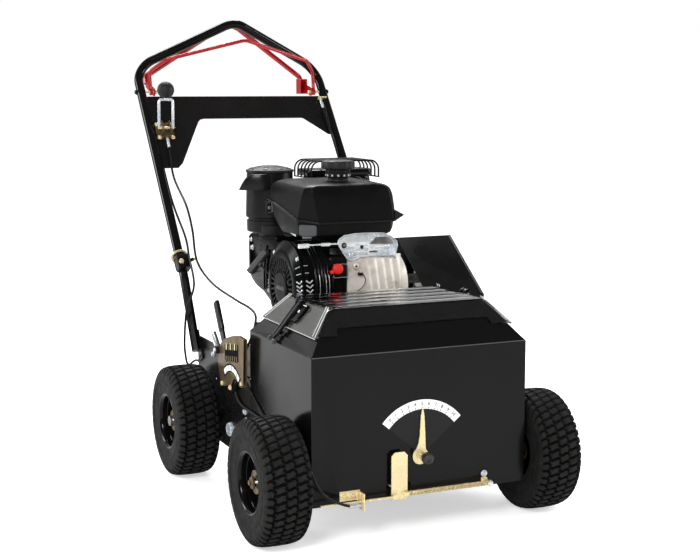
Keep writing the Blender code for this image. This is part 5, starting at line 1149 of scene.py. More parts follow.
class SEEDER_OT_chassis(Maker, bpy.types.Operator):
    """Build the side plates, the engine deck, their fasteners and the parts under the deck"""
    bl_idname = "seeder.chassis"
    bl_label = "Chassis"

    def make(self, looks):
        for side, hand in ((-1, "right"), (1, "left")):
            hub = [((side * 0.340, -0.02, 0.11), (side * 0.380, 0.02, 0.17), "olive_zinc"),
                   ((side * 0.262, REAR_AXLE_Y - 0.04, 0.10), (side * 0.240, REAR_AXLE_Y + 0.04, 0.18),
                    "bright_zinc")]
            dressed(f"side_plate_{hand}", "chassis", "satin_black", 0.0007, hub)
            form = Form("bright_zinc", "yellow_zinc", "satin_black", "olive_zinc")
            face = side * 0.2653
            for y, z, size, word in ((0.3271, 0.2125, 0.0056, "bright_zinc"), (0.3207, 0.1926, 0.0050,
                                                                               "bright_zinc"),
                                     (0.3622, 0.1694, 0.0050, "bright_zinc"),
                                     (0.160, 0.150, 0.0050, "yellow_zinc"),
                                     (0.270, 0.200, 0.0070, "bright_zinc"),
                                     (0.030, 0.150, 0.0055, "bright_zinc"),
                                     (0.560, 0.310, 0.0055, "bright_zinc"),
                                     (0.350, 0.280, 0.0050, "bright_zinc")):
                form.bolt((face, y, z), X_AXIS * side, size, word)
            form.bolt((side * 0.3715, 0, AXLE_Z), X_AXIS * side, 0.0054, "olive_zinc")
            form.build(f"side_bolts_{hand}", "chassis")
        self.deck()
        dressed("seed_chute", "chassis", "satin_black", 0.0006)
        for node, word in (("agitator", "bare_steel"), ("drive_sprocket", "bare_steel"),
                           ("drive_chain", "bare_steel"),
                           ("transmission", "cast_aluminium"), ("reel_belt", "soft_rubber")):
            keep(node, word)
        dressed("rear_axle", "rear_wheels", "bare_steel", 0.0005)

    def deck(self):
        """A raised sheet under the engine, a fold down to a lower wing, and flanges round both."""
        form = Form("satin_black")
        slot = rounded([(0.2220, 0.3450), (0.2480, 0.3450), (0.2480, 0.5050), (0.2220, 0.5050)], 0.004)[::-1]
        sheet = rounded([(-0.1050, 0.3120), (0.2610, 0.3120), (0.2610, 0.6900), (-0.1050, 0.6900)], 0.003)
        form.plate(sheet, 0.3547, 0.3597, "Z", 0, 0.0008, [slot])
        wing = rounded([(-0.2610, 0.3120), (-0.1000, 0.3120), (-0.1000, 0.6900), (-0.2610, 0.6900)], 0.003)
        form.plate(wing, 0.2950, 0.3000, "Z", 0, 0.0008, [circle((-0.2000, 0.4000), 0.0060)[::-1]])
        form.cuboid((-0.1050, 0.3120, 0.2950), (-0.1000, 0.6900, 0.3597), 0, 0.0008)
        form.cuboid((0.2560, 0.3120, 0.2950), (0.2610, 0.6900, 0.3597), 0, 0.0008)
        form.cuboid((-0.1050, 0.3120, 0.2950), (0.2610, 0.3170, 0.3597), 0, 0.0008)
        form.cuboid((-0.1050, 0.6850, 0.2950), (0.2610, 0.6900, 0.3597), 0, 0.0008)
        form.build("engine_deck_sheet", "chassis", ("engine_deck",))


# Slicing reel

class SEEDER_OT_reel(Maker, bpy.types.Operator):
    """Build the slicing reel, its carriage, bearings and belt drive"""
    bl_idname = "seeder.reel"
    bl_label = "Slicing reel"

    def make(self, looks):
        dressed("slicing_reel", "reel", "bare_steel", 0.0004)
        dressed("reel_pulley", "reel", "satin_black", 0.0005)
        dressed("crank_pulley", "crankshaft", "bare_steel", 0.0005)
        dressed("reel_carriage", "carriage", "satin_black", 0.0006)
        dressed("idler_arm", "idler", "yellow_zinc", 0.0004)
        dressed("idler_pulley", "idler_roller", "smooth_plastic", 0.0005)
        for side, hand in ((-1, "right"), (1, "left")):
            form = Form("bright_zinc", "bare_steel")
            centre = np.array((0.0, 0.430, 0.146))
            inner, outer = side * 0.2553, side * 0.2738
            loop = [(0, 0.0170), (0.0155, 0.0170), (0.0170, 0.0164), (0.0185, 0.0148), (0.0182, 0.0140),
                    (0.0172, 0.0136), (0.0172, 0.0130), (0, 0.0130)]
            form.lathe(loop, centre + X_AXIS * inner, X_AXIS * side, 40, "bright_zinc", loop=True)
            for index in range(4):
                turn = index * math.pi / 2 + 0.6
                spoke = np.array((0, math.cos(turn), math.sin(turn))) * 0.0150
                form.rod(centre + spoke + X_AXIS * (outer - side * 0.002), centre + spoke + X_AXIS * outer,
                         0.0011,
                         "bare_steel", 10)
            form.build(f"reel_bearing_{hand}_form", "carriage", (f"reel_bearing_{hand}",))


# Depth control

class SEEDER_OT_depth(Maker, bpy.types.Operator):
    """Build the depth lever and its plated quadrant"""
    bl_idname = "seeder.depth"
    bl_label = "Depth control"

    def make(self, looks):
        form = Form("olive_zinc", "white_print", "yellow_zinc", "bright_zinc", "groove_rubber",
                    "smooth_plastic")
        outline = [(0.4508, 0.3598), (0.4250, 0.3730), (0.3897, 0.3841), (0.3600, 0.3920), (0.3267, 0.3962),
                   (0.2860, 0.3946), (0.2930, 0.2830), (0.3050, 0.2760), (0.3200, 0.2770), (0.3280, 0.2840),
                   (0.3400, 0.2890), (0.3540, 0.2890), (0.3670, 0.2820), (0.3760, 0.2700), (0.4000, 0.2620),
                   (0.4410, 0.2540), (0.4540, 0.2620), (0.4767, 0.3084)]
        for low in (-0.2826, -0.2746):
            form.plate(rounded(outline[::-1], 0.0030, 4), low, low + 0.0020, "X", 0, 0.0004)
        comb = [(0.3230, 0.3330), (0.3230, 0.3760), (0.4200, 0.3620), (0.4200, 0.3220)]
        form.plate(rounded(comb, 0.0060, 5), -0.2832, -0.2824, "X", "groove_rubber", 0)
        for index in range(6):
            y = 0.3330 + 0.0150 * index
            top = 0.3760 - 0.144 * (y - 0.3230)
            form.cuboid((-0.2836, y - 0.0028, top - 0.0140), (-0.2826, y + 0.0028, top + 0.0020),
                        "yellow_zinc" if index % 2 else 0, 0.0003)
            form.cuboid((-0.2836, y - 0.0020, top - 0.0440), (-0.2826, y + 0.0036, top - 0.0290), 0, 0.0003)
        pivot = (0.3710, 0.2290)
        window = np.vstack((arc(pivot, 0.0720, 47, 133, 24), arc(pivot, 0.0920, 133, 47, 24)))
        form.plate(window, -0.2832, -0.2824, "X", "groove_rubber", 0)
        for start in (51, 64.5, 78, 91.5, 105, 118.5):
            window = np.vstack((arc(pivot, 0.0750, start, start + 11, 6), arc(pivot, 0.0880, start + 11,
                                                                              start, 6)))
            form.plate(window, -0.2837, -0.2830, "X", "white_print", 0)
        form.rod((-0.2780, 0.4943, 0.3400), (-0.2780, 0.5667, 0.3850), 0.0042, "bright_zinc")
        form.bolt((-0.2826, 0.3040, 0.2860), -X_AXIS, 0.0046, "yellow_zinc", washer=False)
        form.bolt((-0.2826, 0.4413, 0.2610), -X_AXIS, 0.0052, "yellow_zinc", washer=False)
        form.lathe([(0, 0.0105), (0.0060, 0.0100), (0.0080, 0.0080)], (-0.2826, 0.4706, 0.3393), -X_AXIS, 28,
                   "smooth_plastic")
        form.bolt((-0.2906, 0.4706, 0.3393), -X_AXIS, 0.0046, "bright_zinc", washer=False)
        form.build("depth_quadrant_plate", "chassis", ("depth_quadrant",))
        dressed("depth_lever", "depth_control", "smooth_plastic", 0.0006)
        lever = Form("yellow_zinc")
        lever.bolt((-0.2826, 0.452 - 0.07, 0.262), -X_AXIS, 0.0048, "yellow_zinc")
        lever.build("depth_lever_bolt", "depth_control")


# Engine

class SEEDER_OT_engine(Maker, bpy.types.Operator):
    """Build the crankcase, the cylinder, the blower, the recoil starter and the muffler"""
    bl_idname = "seeder.engine"
    bl_label = "Engine"

    def make(self, looks):
        dressed("crankcase", "chassis", "satin_black", 0.0012,
                [((0.1345, 0.2, 0.3), (0.3, 0.9, 0.9), "cast_aluminium")])
        dressed("cylinder_head", "chassis", "satin_black", 0.0010,
                [((0.1200, 0.2, 0.3), (0.4, 0.9, 0.9), "cast_aluminium")])
        self.case_front()
        self.blower()
        self.recoil()
        self.grip()
        dressed("muffler", "chassis", "gloss_black", 0.0020)
        guard = Form("satin_black", "gloss_black")
        shield = rounded([(0.0040, 0.5720, 0.012), (0.1860, 0.5720, 0.020), (0.1860, 0.6680, 0.020),
                          (0.0040, 0.6680, 0.012)], 0.010, 6)
        guard.plate(shield, 0.7480, 0.7660, "Z", "gloss_black", 0.0060)
        self.guard(guard)
        guard.build("muffler_wire_guard", "chassis", ("muffler_guard",))

    def case_front(self):
        """The casting's front: slanting ribs whose depth is a raised cosine, and a plain left part with a
        boss, a clip and a wire arc."""
        form = Form("cast_aluminium", "smooth_plastic", "bright_zinc", "soft_rubber")
        left, right, low, high = -0.0085, 0.1330, 0.3720, 0.5740
        u = np.linspace(left, right, 170)[None, :]
        z = np.linspace(low, high, 80)[:, None]
        lean = u + 0.155 * (z - 0.5650)
        wave = 0.5 + 0.5 * np.cos((lean - 0.0590) / 0.0205 * 2 * math.pi)
        fade = np.clip((u - 0.0380) / 0.016, 0, 1) * np.clip((z - low) / 0.010, 0,
                                                             1) * np.clip((high - z) / 0.016, 0, 1)
        swell = 0.0022 * np.exp(-((u - 0.010) / 0.016) ** 2 - ((z - 0.5400) / 0.020) ** 2)
        y = 0.3050 - swell - 0.0034 * wave * fade + 0.0008 * np.clip((0.004 - u) / 0.010, 0, 1)
        y = np.broadcast_to(y, (z.shape[0], u.shape[1]))
        front = np.stack((np.broadcast_to(u, y.shape), y, np.broadcast_to(z, y.shape)), -1)
        back = front.copy()
        back[..., 1] = 0.3100
        form.grid(front, 0, ring=False)
        form.grid(back, 0, ring=False)

        def border(skin):
            return np.vstack((skin[0, :-1], skin[:-1, -1], skin[-1, :0:-1], skin[:0:-1, 0]))

        form.grid(np.array((border(front), border(back))), 0, caps=False)
        form.lathe([(0, 0.0078), (0.0050, 0.0074), (0.0062, 0.0062), (0.0062, 0.0030), (0.0020, 0.0028)],
                   (0.0118, 0.3040, 0.5494), -Y_AXIS, 28, 0)
        form.rod((0.0118, 0.3030, 0.5494), (0.0118, 0.2995, 0.5494), 0.0028, "soft_rubber")
        form.cuboid((0.0175, 0.2965, 0.5265), (0.0290, 0.3060, 0.5340), "soft_rubber", 0.0008)
        form.cuboid((0.0200, 0.2955, 0.5330), (0.0265, 0.3050, 0.5385), 0)
        form.sweep(spline([(0.0290, 0.2995, 0.5310), (0.0355, 0.2985, 0.5180), (0.0330, 0.2990, 0.5040),
                           (0.0215, 0.2990, 0.4930), (0.0050, 0.3010, 0.4860)], 0.003), 0.0011, "soft_rubber",
                           8)
        for x, z in ((0.1250, 0.3900), (-0.0020, 0.3900)):
            form.bolt((x, 0.3040, z), -Y_AXIS, 0.0042, "bright_zinc")
        rim = rounded([(-0.0530, 0.5260), (-0.0145, 0.5260), (-0.0145, 0.5590), (-0.0530, 0.5590)], 0.003)
        form.plate(rim, -0.2878, -0.2868, "Y", "bright_zinc", 0.0003, [grown(rim, -0.0010)[::-1]])
        form.build("crankcase_front", "chassis", sharp=50)

    def blower(self):
        """The volute that carries the cooling air, with rings turned round its front; short bare steel arcs
        on some rings are painted highlights.
        """
        form = Form("deep_black", "gloss_black", "bright_zinc", "bare_steel")
        outline = np.vstack((arc(CRANK, 0.1120, 95, 300, 70), rounded(
            [(0.5100, 0.4380, 0.01), (0.5700, 0.4600, 0.02), (0.6200, 0.4680, 0.02), (0.6660, 0.4860, 0.02),
             (0.6690, 0.5300, 0.02), (0.6690, 0.5990, 0.004), (0.6560, 0.6030, 0.004),
             (0.5400, 0.6040, 0.010),
             (0.4700, 0.6120, 0.01)], 0.010, 6)))
        form.plate(outline, -0.1270, -0.0550, "X", "deep_black", 0.0050)
        for x, thick, painted_glint in ((-0.1010, 0.0026, 0), (-0.0920, 0.0024, 1), (-0.0840, 0.0028, 0),
                                (-0.0760, 0.0024, 1),
                                (-0.0680, 0.0028, 1)):
            ring = arc(CRANK, 0.1118, 100, 296, 90)
            form.sweep(np.column_stack((np.full(len(ring), x), ring)), thick, "gloss_black", 12)
            if painted_glint:
                ring = arc(CRANK, 0.1140, 160, 196, 30)
                form.sweep(np.column_stack((np.full(len(ring), x), ring)), 0.0009, "bare_steel", 8)
        for y, z in ((0.6445, 0.5656), (0.6540, 0.5856), (0.6560, 0.5060), (0.4640, 0.5760),
                     (0.5200, 0.4700)):
            form.bolt((-0.1268, y, z), -X_AXIS, 0.0050, "bright_zinc")
        for reach, thick in ((0.1500, 0.0030), (0.1680, 0.0022)):
            ring = arc(CRANK, reach, -10, 30, 30)
            form.sweep(np.column_stack((np.full(len(ring), -0.1280), ring)), thick, "gloss_black", 10)
        form.sweep([(-0.1285, 0.6560, 0.4980), (-0.1285, 0.6560, 0.5950)], 0.0040, "gloss_black", 12)
        form.build("blower_volute", "chassis", ("blower_housing",), sharp=40)

    def recoil(self):
        """A stepped cone with a plain disc in the middle, radial fins round it, and vents on its slope whose
        rims carry painted highlights: bright zinc strips laid in chevrons stand in for light on the black
        ribs."""
        form = Form("deep_black", "bright_zinc", "grey_plastic", "grey_print")
        centre = np.array((0.0, *CRANK))
        form.lathe([(0.1268, 0.1090), (0.1290, 0.1118), (0.1325, 0.1112), (0.1440, 0.0935), (0.1468, 0.0880),
                    (0.1470, 0.0715), (0.1462, 0.0700), (0.1405, 0.0690), (0.1400, 0.0440), (0.1470, 0.0420),
                    (0.1490, 0.0400), (0.1498, 0.0370), (0.1498, 0.0080), (0.1490, 0.0060)],
                   centre, -X_AXIS, 96, "deep_black")
        form.lathe([(0.1495, 0.0340), (0.1502, 0.0340), (0.1503, 0.0330), (0.1503, 0.0010)], centre, -X_AXIS,
                   64,
                   "grey_print")
        for turn in np.arange(30) * 2 * math.pi / 30:
            spoke = np.array((0, math.cos(turn), math.sin(turn)))
            form.beam(centre + spoke * 0.0430 - X_AXIS * 0.1432, centre + spoke * 0.0700 - X_AXIS * 0.1432,
                      0.0046,
                      0.0072, np.cross(spoke, X_AXIS), "grey_print", 0.0008)

        def skin(degrees, along):
            """A point on the cover: the slope runs to 0.5, and the volute's front goes on to 1."""
            turn = math.radians(180 - degrees)
            spoke = np.array((0, math.cos(turn), math.sin(turn)))
            if along < 0.5:
                return centre + spoke * (0.0935 + 0.0175 * along * 2) - X_AXIS * (0.1455 - 0.0125 * along * 2)
            return centre + spoke * 0.1120 - X_AXIS * (0.1300 - 0.0230 * (along * 2 - 1))

        for base in (0, 180, 225, 270, 315):
            for start, end, middle in ((0.06, 0.42, 0.26), (0.58, 0.94, 0.78)):
                for step in range(3):
                    turn = base + 1.0 + step * 5.6
                    form.sweep([skin(turn + 1.8, start), skin(turn - 1.4, middle), skin(turn + 1.8, end)],
                               0.0019,
                               "bright_zinc", 8)
                form.sweep([skin(base - 2.6, start), skin(base - 2.6, end)], 0.0010, "bright_zinc", 8)
            for turn in (base + 23.5, base + 33.0):
                form.sweep([skin(turn, 0.10), skin(turn, 0.42)], 0.0011, "bright_zinc", 8)
                form.sweep([skin(turn, 0.58), skin(turn, 0.78)], 0.0009, "bright_zinc", 8)
        for turn in (0.79, 2.36, 3.93, 5.50):
            spoke = np.array((0, math.cos(turn), math.sin(turn))) * 0.1050
            form.bolt(centre + spoke - X_AXIS * 0.1340, -X_AXIS, 0.0045, "bright_zinc")
        form.cuboid((-0.1507, 0.3640, 0.4900), (-0.1500, 0.4140, 0.4990), "grey_plastic", 0.0002)
        form.build("recoil_cover_form", "chassis", ("recoil_cover",), sharp=35)

    def grip(self):
        """A flat-sided bar with soft edges, with its rope and eye."""
        form = Form("grey_plastic", "soft_rubber")
        centre = np.array((-0.1580, 0.5200, 0.5430))
        along = unit((0.529, -0.357, 0.771))
        pull = unit((-0.45, 0.85, 0.70))
        form.beam(centre - along * 0.0350, centre + along * 0.0350, 0.0195, 0.0150, np.cross(along, pull), 0,
                  0.0022)
        form.rod(centre - pull * 0.0130, centre - pull * 0.005, 0.0066, 0, 20)
        form.sweep([centre - pull * back for back in np.linspace(0.175, 0, 12)], 0.0021, "soft_rubber", 10)
        form.build("starter_grip_form", "starter", ("starter_grip",))

    def guard(self, form):
        """Wire hoops over the muffler, tied by rails along their feet and tops."""
        x, y, z = 0.1000, 0.6200, 0.7150
        low, high, half = z + 0.0300, z + 0.0730, 0.0950
        for index in range(6):
            wire = y - 0.057 + 0.0228 * index
            form.sweep(bent([(x - half, wire, low), (x - half, wire, high), (x + half, wire, high),
                             (x + half, wire, low)], (0.024, 0.024), 10), 0.0023, 0, 12)
        for side in (-1, 1):
            form.sweep([(x + side * half, y - 0.060, low), (x + side * half, y + 0.060, low)], 0.0019, 0, 10)
            seat = x + side * 0.0823
            form.cuboid((seat, y - 0.006, low - 0.002), (x + side * half, y + 0.006, low + 0.002))
            form.cuboid((seat, y - 0.006, z - 0.006), (seat + side * 0.002, y + 0.006, low + 0.002))
        for shift in (-0.05, 0.0, 0.05):
            form.sweep([(x + shift, y - 0.060, high), (x + shift, y + 0.060, high)], 0.0023, 0, 10)


class SEEDER_OT_tank(Maker, bpy.types.Operator):
    """Build the fuel tank with its seam and its cap"""
    bl_idname = "seeder.tank"
    bl_label = "Tank"

    def make(self, looks):
        tank = Form("smooth_plastic", "grey_plastic", "matte_plastic", "soft_rubber", "bright_zinc",
                    "tank_plastic")
        self.shell(tank)
        tank.build("fuel_tank_form", "chassis", ("fuel_tank",), sharp=28)
        cap = Form("matte_plastic")
        self.cap(cap)
        cap.build("knurled_fuel_cap", "tank_cap", ("fuel_cap",))

    def shell(self, form):
        """Rings of a rectangle with cut corners, one over the other: a lower tray, the seam's rim and an
        upper shell with soft shoulders. Each ring's level rises from its front to its back."""
        def ring(west, east, front, back, cut, near, far):
            corners = [(west + cut, front), (east - 0.012, front), (east, front + 0.012),
                       (east, back - 0.020),
                       (east - 0.020, back), (west + 0.020, back), (west, back - 0.020), (west, front + cut)]
            flat = rounded(corners, 0.0035, 4)
            level = near + (far - near) * (flat[:, 1:] - front) / (back - front)
            return np.hstack((flat, level))

        form.grid(np.array([
            ring(-0.1060, 0.0960, 0.3220, 0.4500, 0.034, 0.6222, 0.6222),
            ring(-0.1180, 0.1060, 0.3110, 0.4620, 0.034, 0.6232, 0.6232),
            ring(-0.1210, 0.1120, 0.3070, 0.4700, 0.036, 0.6272, 0.6280),
            ring(-0.1214, 0.1170, 0.3052, 0.4980, 0.037, 0.6390, 0.6450),
            ring(-0.1216, 0.1185, 0.3046, 0.5240, 0.038, 0.6470, 0.6640),
            ring(-0.1216, 0.1195, 0.3040, 0.5400, 0.038, 0.6545, 0.7010)]), "tank_plastic")
        form.grid(np.array([
            ring(-0.1250, 0.1235, 0.3000, 0.5510, 0.039, 0.6540, 0.7010),
            ring(-0.1280, 0.1262, 0.2972, 0.5538, 0.040, 0.6548, 0.7018),
            ring(-0.1284, 0.1266, 0.2968, 0.5542, 0.040, 0.6570, 0.7040),
            ring(-0.1280, 0.1262, 0.2972, 0.5538, 0.040, 0.6590, 0.7060),
            ring(-0.1250, 0.1235, 0.3000, 0.5510, 0.039, 0.6598, 0.7068)]), "smooth_plastic")
        form.grid(np.array([
            ring(-0.1238, 0.1228, 0.3006, 0.5490, 0.038, 0.6560, 0.7030),
            ring(-0.1236, 0.1226, 0.3006, 0.5490, 0.037, 0.6640, 0.7080),
            ring(-0.1222, 0.1190, 0.3010, 0.5470, 0.030, 0.6920, 0.7200),
            ring(-0.1205, 0.1150, 0.3018, 0.5440, 0.023, 0.7180, 0.7300),
            ring(-0.1190, 0.1118, 0.3028, 0.5400, 0.019, 0.7280, 0.7350),
            ring(-0.1165, 0.1085, 0.3044, 0.5360, 0.017, 0.7350, 0.7400),
            ring(-0.1125, 0.1035, 0.3066, 0.5310, 0.015, 0.7398, 0.7442),
            ring(-0.1070, 0.0970, 0.3096, 0.5250, 0.014, 0.7432, 0.7474),
            ring(-0.0990, 0.0880, 0.3140, 0.5160, 0.013, 0.7458, 0.7500),
            ring(-0.0800, 0.0700, 0.3260, 0.4960, 0.012, 0.7480, 0.7516),
            ring(-0.0500, 0.0420, 0.3500, 0.4700, 0.012, 0.7492, 0.7520)]), "tank_plastic")
        way = np.array((math.sqrt(0.5), -math.sqrt(0.5), 0.0))
        post = rounded([(-0.0225, 0.6255), (0.0225, 0.6255), (0.0225, 0.6520), (-0.0225, 0.6520)], 0.0060)
        form.plate(post, -0.0010, 0.0048, (way, Z_AXIS, np.cross(way, Z_AXIS)), "grey_plastic", 0.0012,
                   origin=(-0.1216 + 0.0190, 0.3050 + 0.0190, 0.0))
        tip = [(0.1180, 0.6540), (0.1440, 0.6685), (0.1180, 0.6820)]
        form.plate(rounded(tip, 0.0015, 4), -0.3260, -0.3060, "Y", "matte_plastic", 0.0006)
        form.beam((-0.1190, 0.3950, 0.6290), (-0.1190, 0.3620, 0.6240), 0.0060, 0.0030, Z_AXIS, "bright_zinc",
                  0.0006)
        # Painted highlights: twelve small bright zinc blocks round the filler neck stand in for light caught
        # by the knurls under the cap.
        for turn in np.arange(12) * math.pi / 6 + 0.13:
            form.cuboid((0.0080 + 0.0290 * math.cos(turn) - 0.0020, 0.4000 + 0.0290 * math.sin(turn) - 0.0020,
                         0.7610),
                        (0.0080 + 0.0290 * math.cos(turn) + 0.0020, 0.4000 + 0.0290 * math.sin(turn) + 0.0020,
                         0.7660),
                        "bright_zinc", 0.0005)
        form.lathe([(0.7440, 0.0270), (0.7500, 0.0250), (0.7530, 0.0240), (0.7580, 0.0250), (0.7600, 0.0280),
                    (0.7690, 0.0300), (0.7700, 0.0290)], (0.0080, 0.4000, 0.0), Z_AXIS, 48, "matte_plastic")
        form.sweep(spline([(0.0330, 0.3960, 0.7660), (0.0480, 0.3500, 0.7560), (0.0620, 0.3180, 0.7500),
                           (0.0700, 0.3080, 0.7440)], 0.004), 0.0011, "soft_rubber", 8)

    def cap(self, form):
        """A wide knurled head over a narrower toothed skirt: both radii wave round the axis."""
        centre = (0.0080, 0.4000)
        turn = np.arange(240) * 2 * math.pi / 240
        profile = np.array([(0.0003, 0.0280), (0.0010, 0.0292), (0.0078, 0.0292), (0.0086, 0.0300),
                            (0.0090, 0.0385),
                            (0.0104, 0.0402), (0.0130, 0.0406), (0.0240, 0.0406), (0.0266, 0.0396),
                            (0.0282, 0.0370),
                            (0.0290, 0.0320), (0.0286, 0.0270), (0.0292, 0.0220)])
        wave = np.clip(np.cos(turn * 12) * 2.2, -1, 1)
        teeth = np.clip(np.cos(turn * 24) * 1.8, -1, 1)
        head = ((profile[:, 0] > 0.0100) & (profile[:, 0] < 0.0250)).astype(float)[:, None]
        skirt = ((profile[:, 0] > 0.0005) & (profile[:, 0] < 0.0080)).astype(float)[:, None]
        radius = profile[:, 1:] * (1 + 0.018 * wave[None, :] * head + 0.045 * teeth[None, :] * skirt)
        form.grid(np.stack((centre[0] + radius * np.cos(turn), centre[1] + radius * np.sin(turn),
                            np.broadcast_to(0.7703 + profile[:, :1], radius.shape)), -1), 0)


class SEEDER_OT_air_cleaner(Maker, bpy.types.Operator):
    """Build the air cleaner's canister with its intake horn"""
    bl_idname = "seeder.air_cleaner"
    bl_label = "Air cleaner"

    def make(self, looks):
        form = Form("smooth_plastic", "matte_plastic", "grey_print", "bare_steel")
        x, y = -0.0870, 0.6200
        form.lathe([(0.6080, 0.0300), (0.6090, 0.0560), (0.6110, 0.0595), (0.6380, 0.0600), (0.6395, 0.0585),
                    (0.6400, 0.0560), (0.6450, 0.0560), (0.6460, 0.0600), (0.6480, 0.0620), (0.6560, 0.0622),
                    (0.7600, 0.0590), (0.7620, 0.0575)], (x, y, 0), Z_AXIS, 72, "smooth_plastic")
        form.lathe([(0.7610, 0.0560), (0.7615, 0.0612), (0.7650, 0.0618), (0.7672, 0.0606), (0.7690, 0.0560),
                    (0.7730, 0.0440), (0.7756, 0.0280), (0.7762, 0.0240), (0.7772, 0.0220), (0.7776, 0.0120)],
                   (x, y, 0), Z_AXIS, 72, "matte_plastic")
        for turn in np.arange(8) * math.pi / 4 + 0.2:
            spoke = np.array((math.cos(turn), math.sin(turn), 0.0))
            start, end = np.array((x, y, 0.7756)) + spoke * 0.0270, np.array((x, y, 0.7700)) + spoke * 0.0540
            form.beam(start, end, 0.0100, 0.0018, np.cross(Z_AXIS, spoke), "smooth_plastic", 0.0006)
        plan = spline([(-0.1100, 0.5590, 0.0), (-0.1280, 0.5600, 0.0), (-0.1460, 0.5680, 0.0),
                       (-0.1640, 0.5800, 0.0),
                       (-0.1800, 0.5940, 0.0)], 0.0020)
        inward = unit((0.55, 0.83, 0.0))
        share = np.linspace(0, 1, len(plan))
        top = 0.7592 - 0.0380 * np.clip((share - 0.45) / 0.55, 0,
                                        1) ** 2.6 - 0.004 * np.clip((0.06 - share) / 0.06, 0, 1)
        low = 0.7185 + 0.004 * np.clip((0.06 - share) / 0.06, 0, 1)
        soft = 0.0035
        rings = []
        for place, upper, lower in zip(plan, top, low):
            edge = min(soft, (upper - lower) * 0.3)
            rings.append([place + inward * 0.0015 + Z_AXIS * lower, place + Z_AXIS * (lower + edge),
                          place + Z_AXIS * (upper - edge),
                          place + inward * 0.0012 + Z_AXIS * (upper - edge * 0.3),
                          place + inward * 0.0040 + Z_AXIS * upper,
                          place + inward * 0.0240 + Z_AXIS * (upper - 0.003),
                          place + inward * 0.0240 + Z_AXIS * lower])
        form.grid(np.array(rings), "smooth_plastic")
        form.cuboid((-0.1190, 0.5620, 0.6560), (-0.1010, 0.5700, 0.6920), "matte_plastic", 0.0015)
        form.sweep(bent([(-0.1160, 0.5600, 0.6880), (-0.1050, 0.5590, 0.6900), (-0.1040, 0.5590, 0.6640),
                         (-0.1160, 0.5600, 0.6600)], (0.003, 0.003), 5), 0.0014, "bare_steel", 8)
        form.bolt((-0.1100, 0.5620, 0.6740), -Y_AXIS, 0.0034, "bare_steel")
        elbow = np.array((-0.0960, 0.5940, 0.0))
        form.lathe([(0.6000, 0.0300), (0.6010, 0.0325), (0.6270, 0.0325), (0.6280, 0.0310)],
                   elbow - Y_AXIS * 0.010, Z_AXIS, 48, "grey_print")
        rings = []
        for level in (0.5640, 0.5745, 0.5850, 0.5955):
            rings += [(level - 0.0040, 0.0270), (level - 0.0020, 0.0330), (level + 0.0020, 0.0330),
                      (level + 0.0040, 0.0270)]
        form.lathe([(0.5590, 0.0260), *rings, (0.6010, 0.0260)], elbow - Y_AXIS * 0.008, Z_AXIS, 48,
                   "matte_plastic")
        form.build("air_cleaner_form", "chassis", ("air_cleaner",), sharp=35)


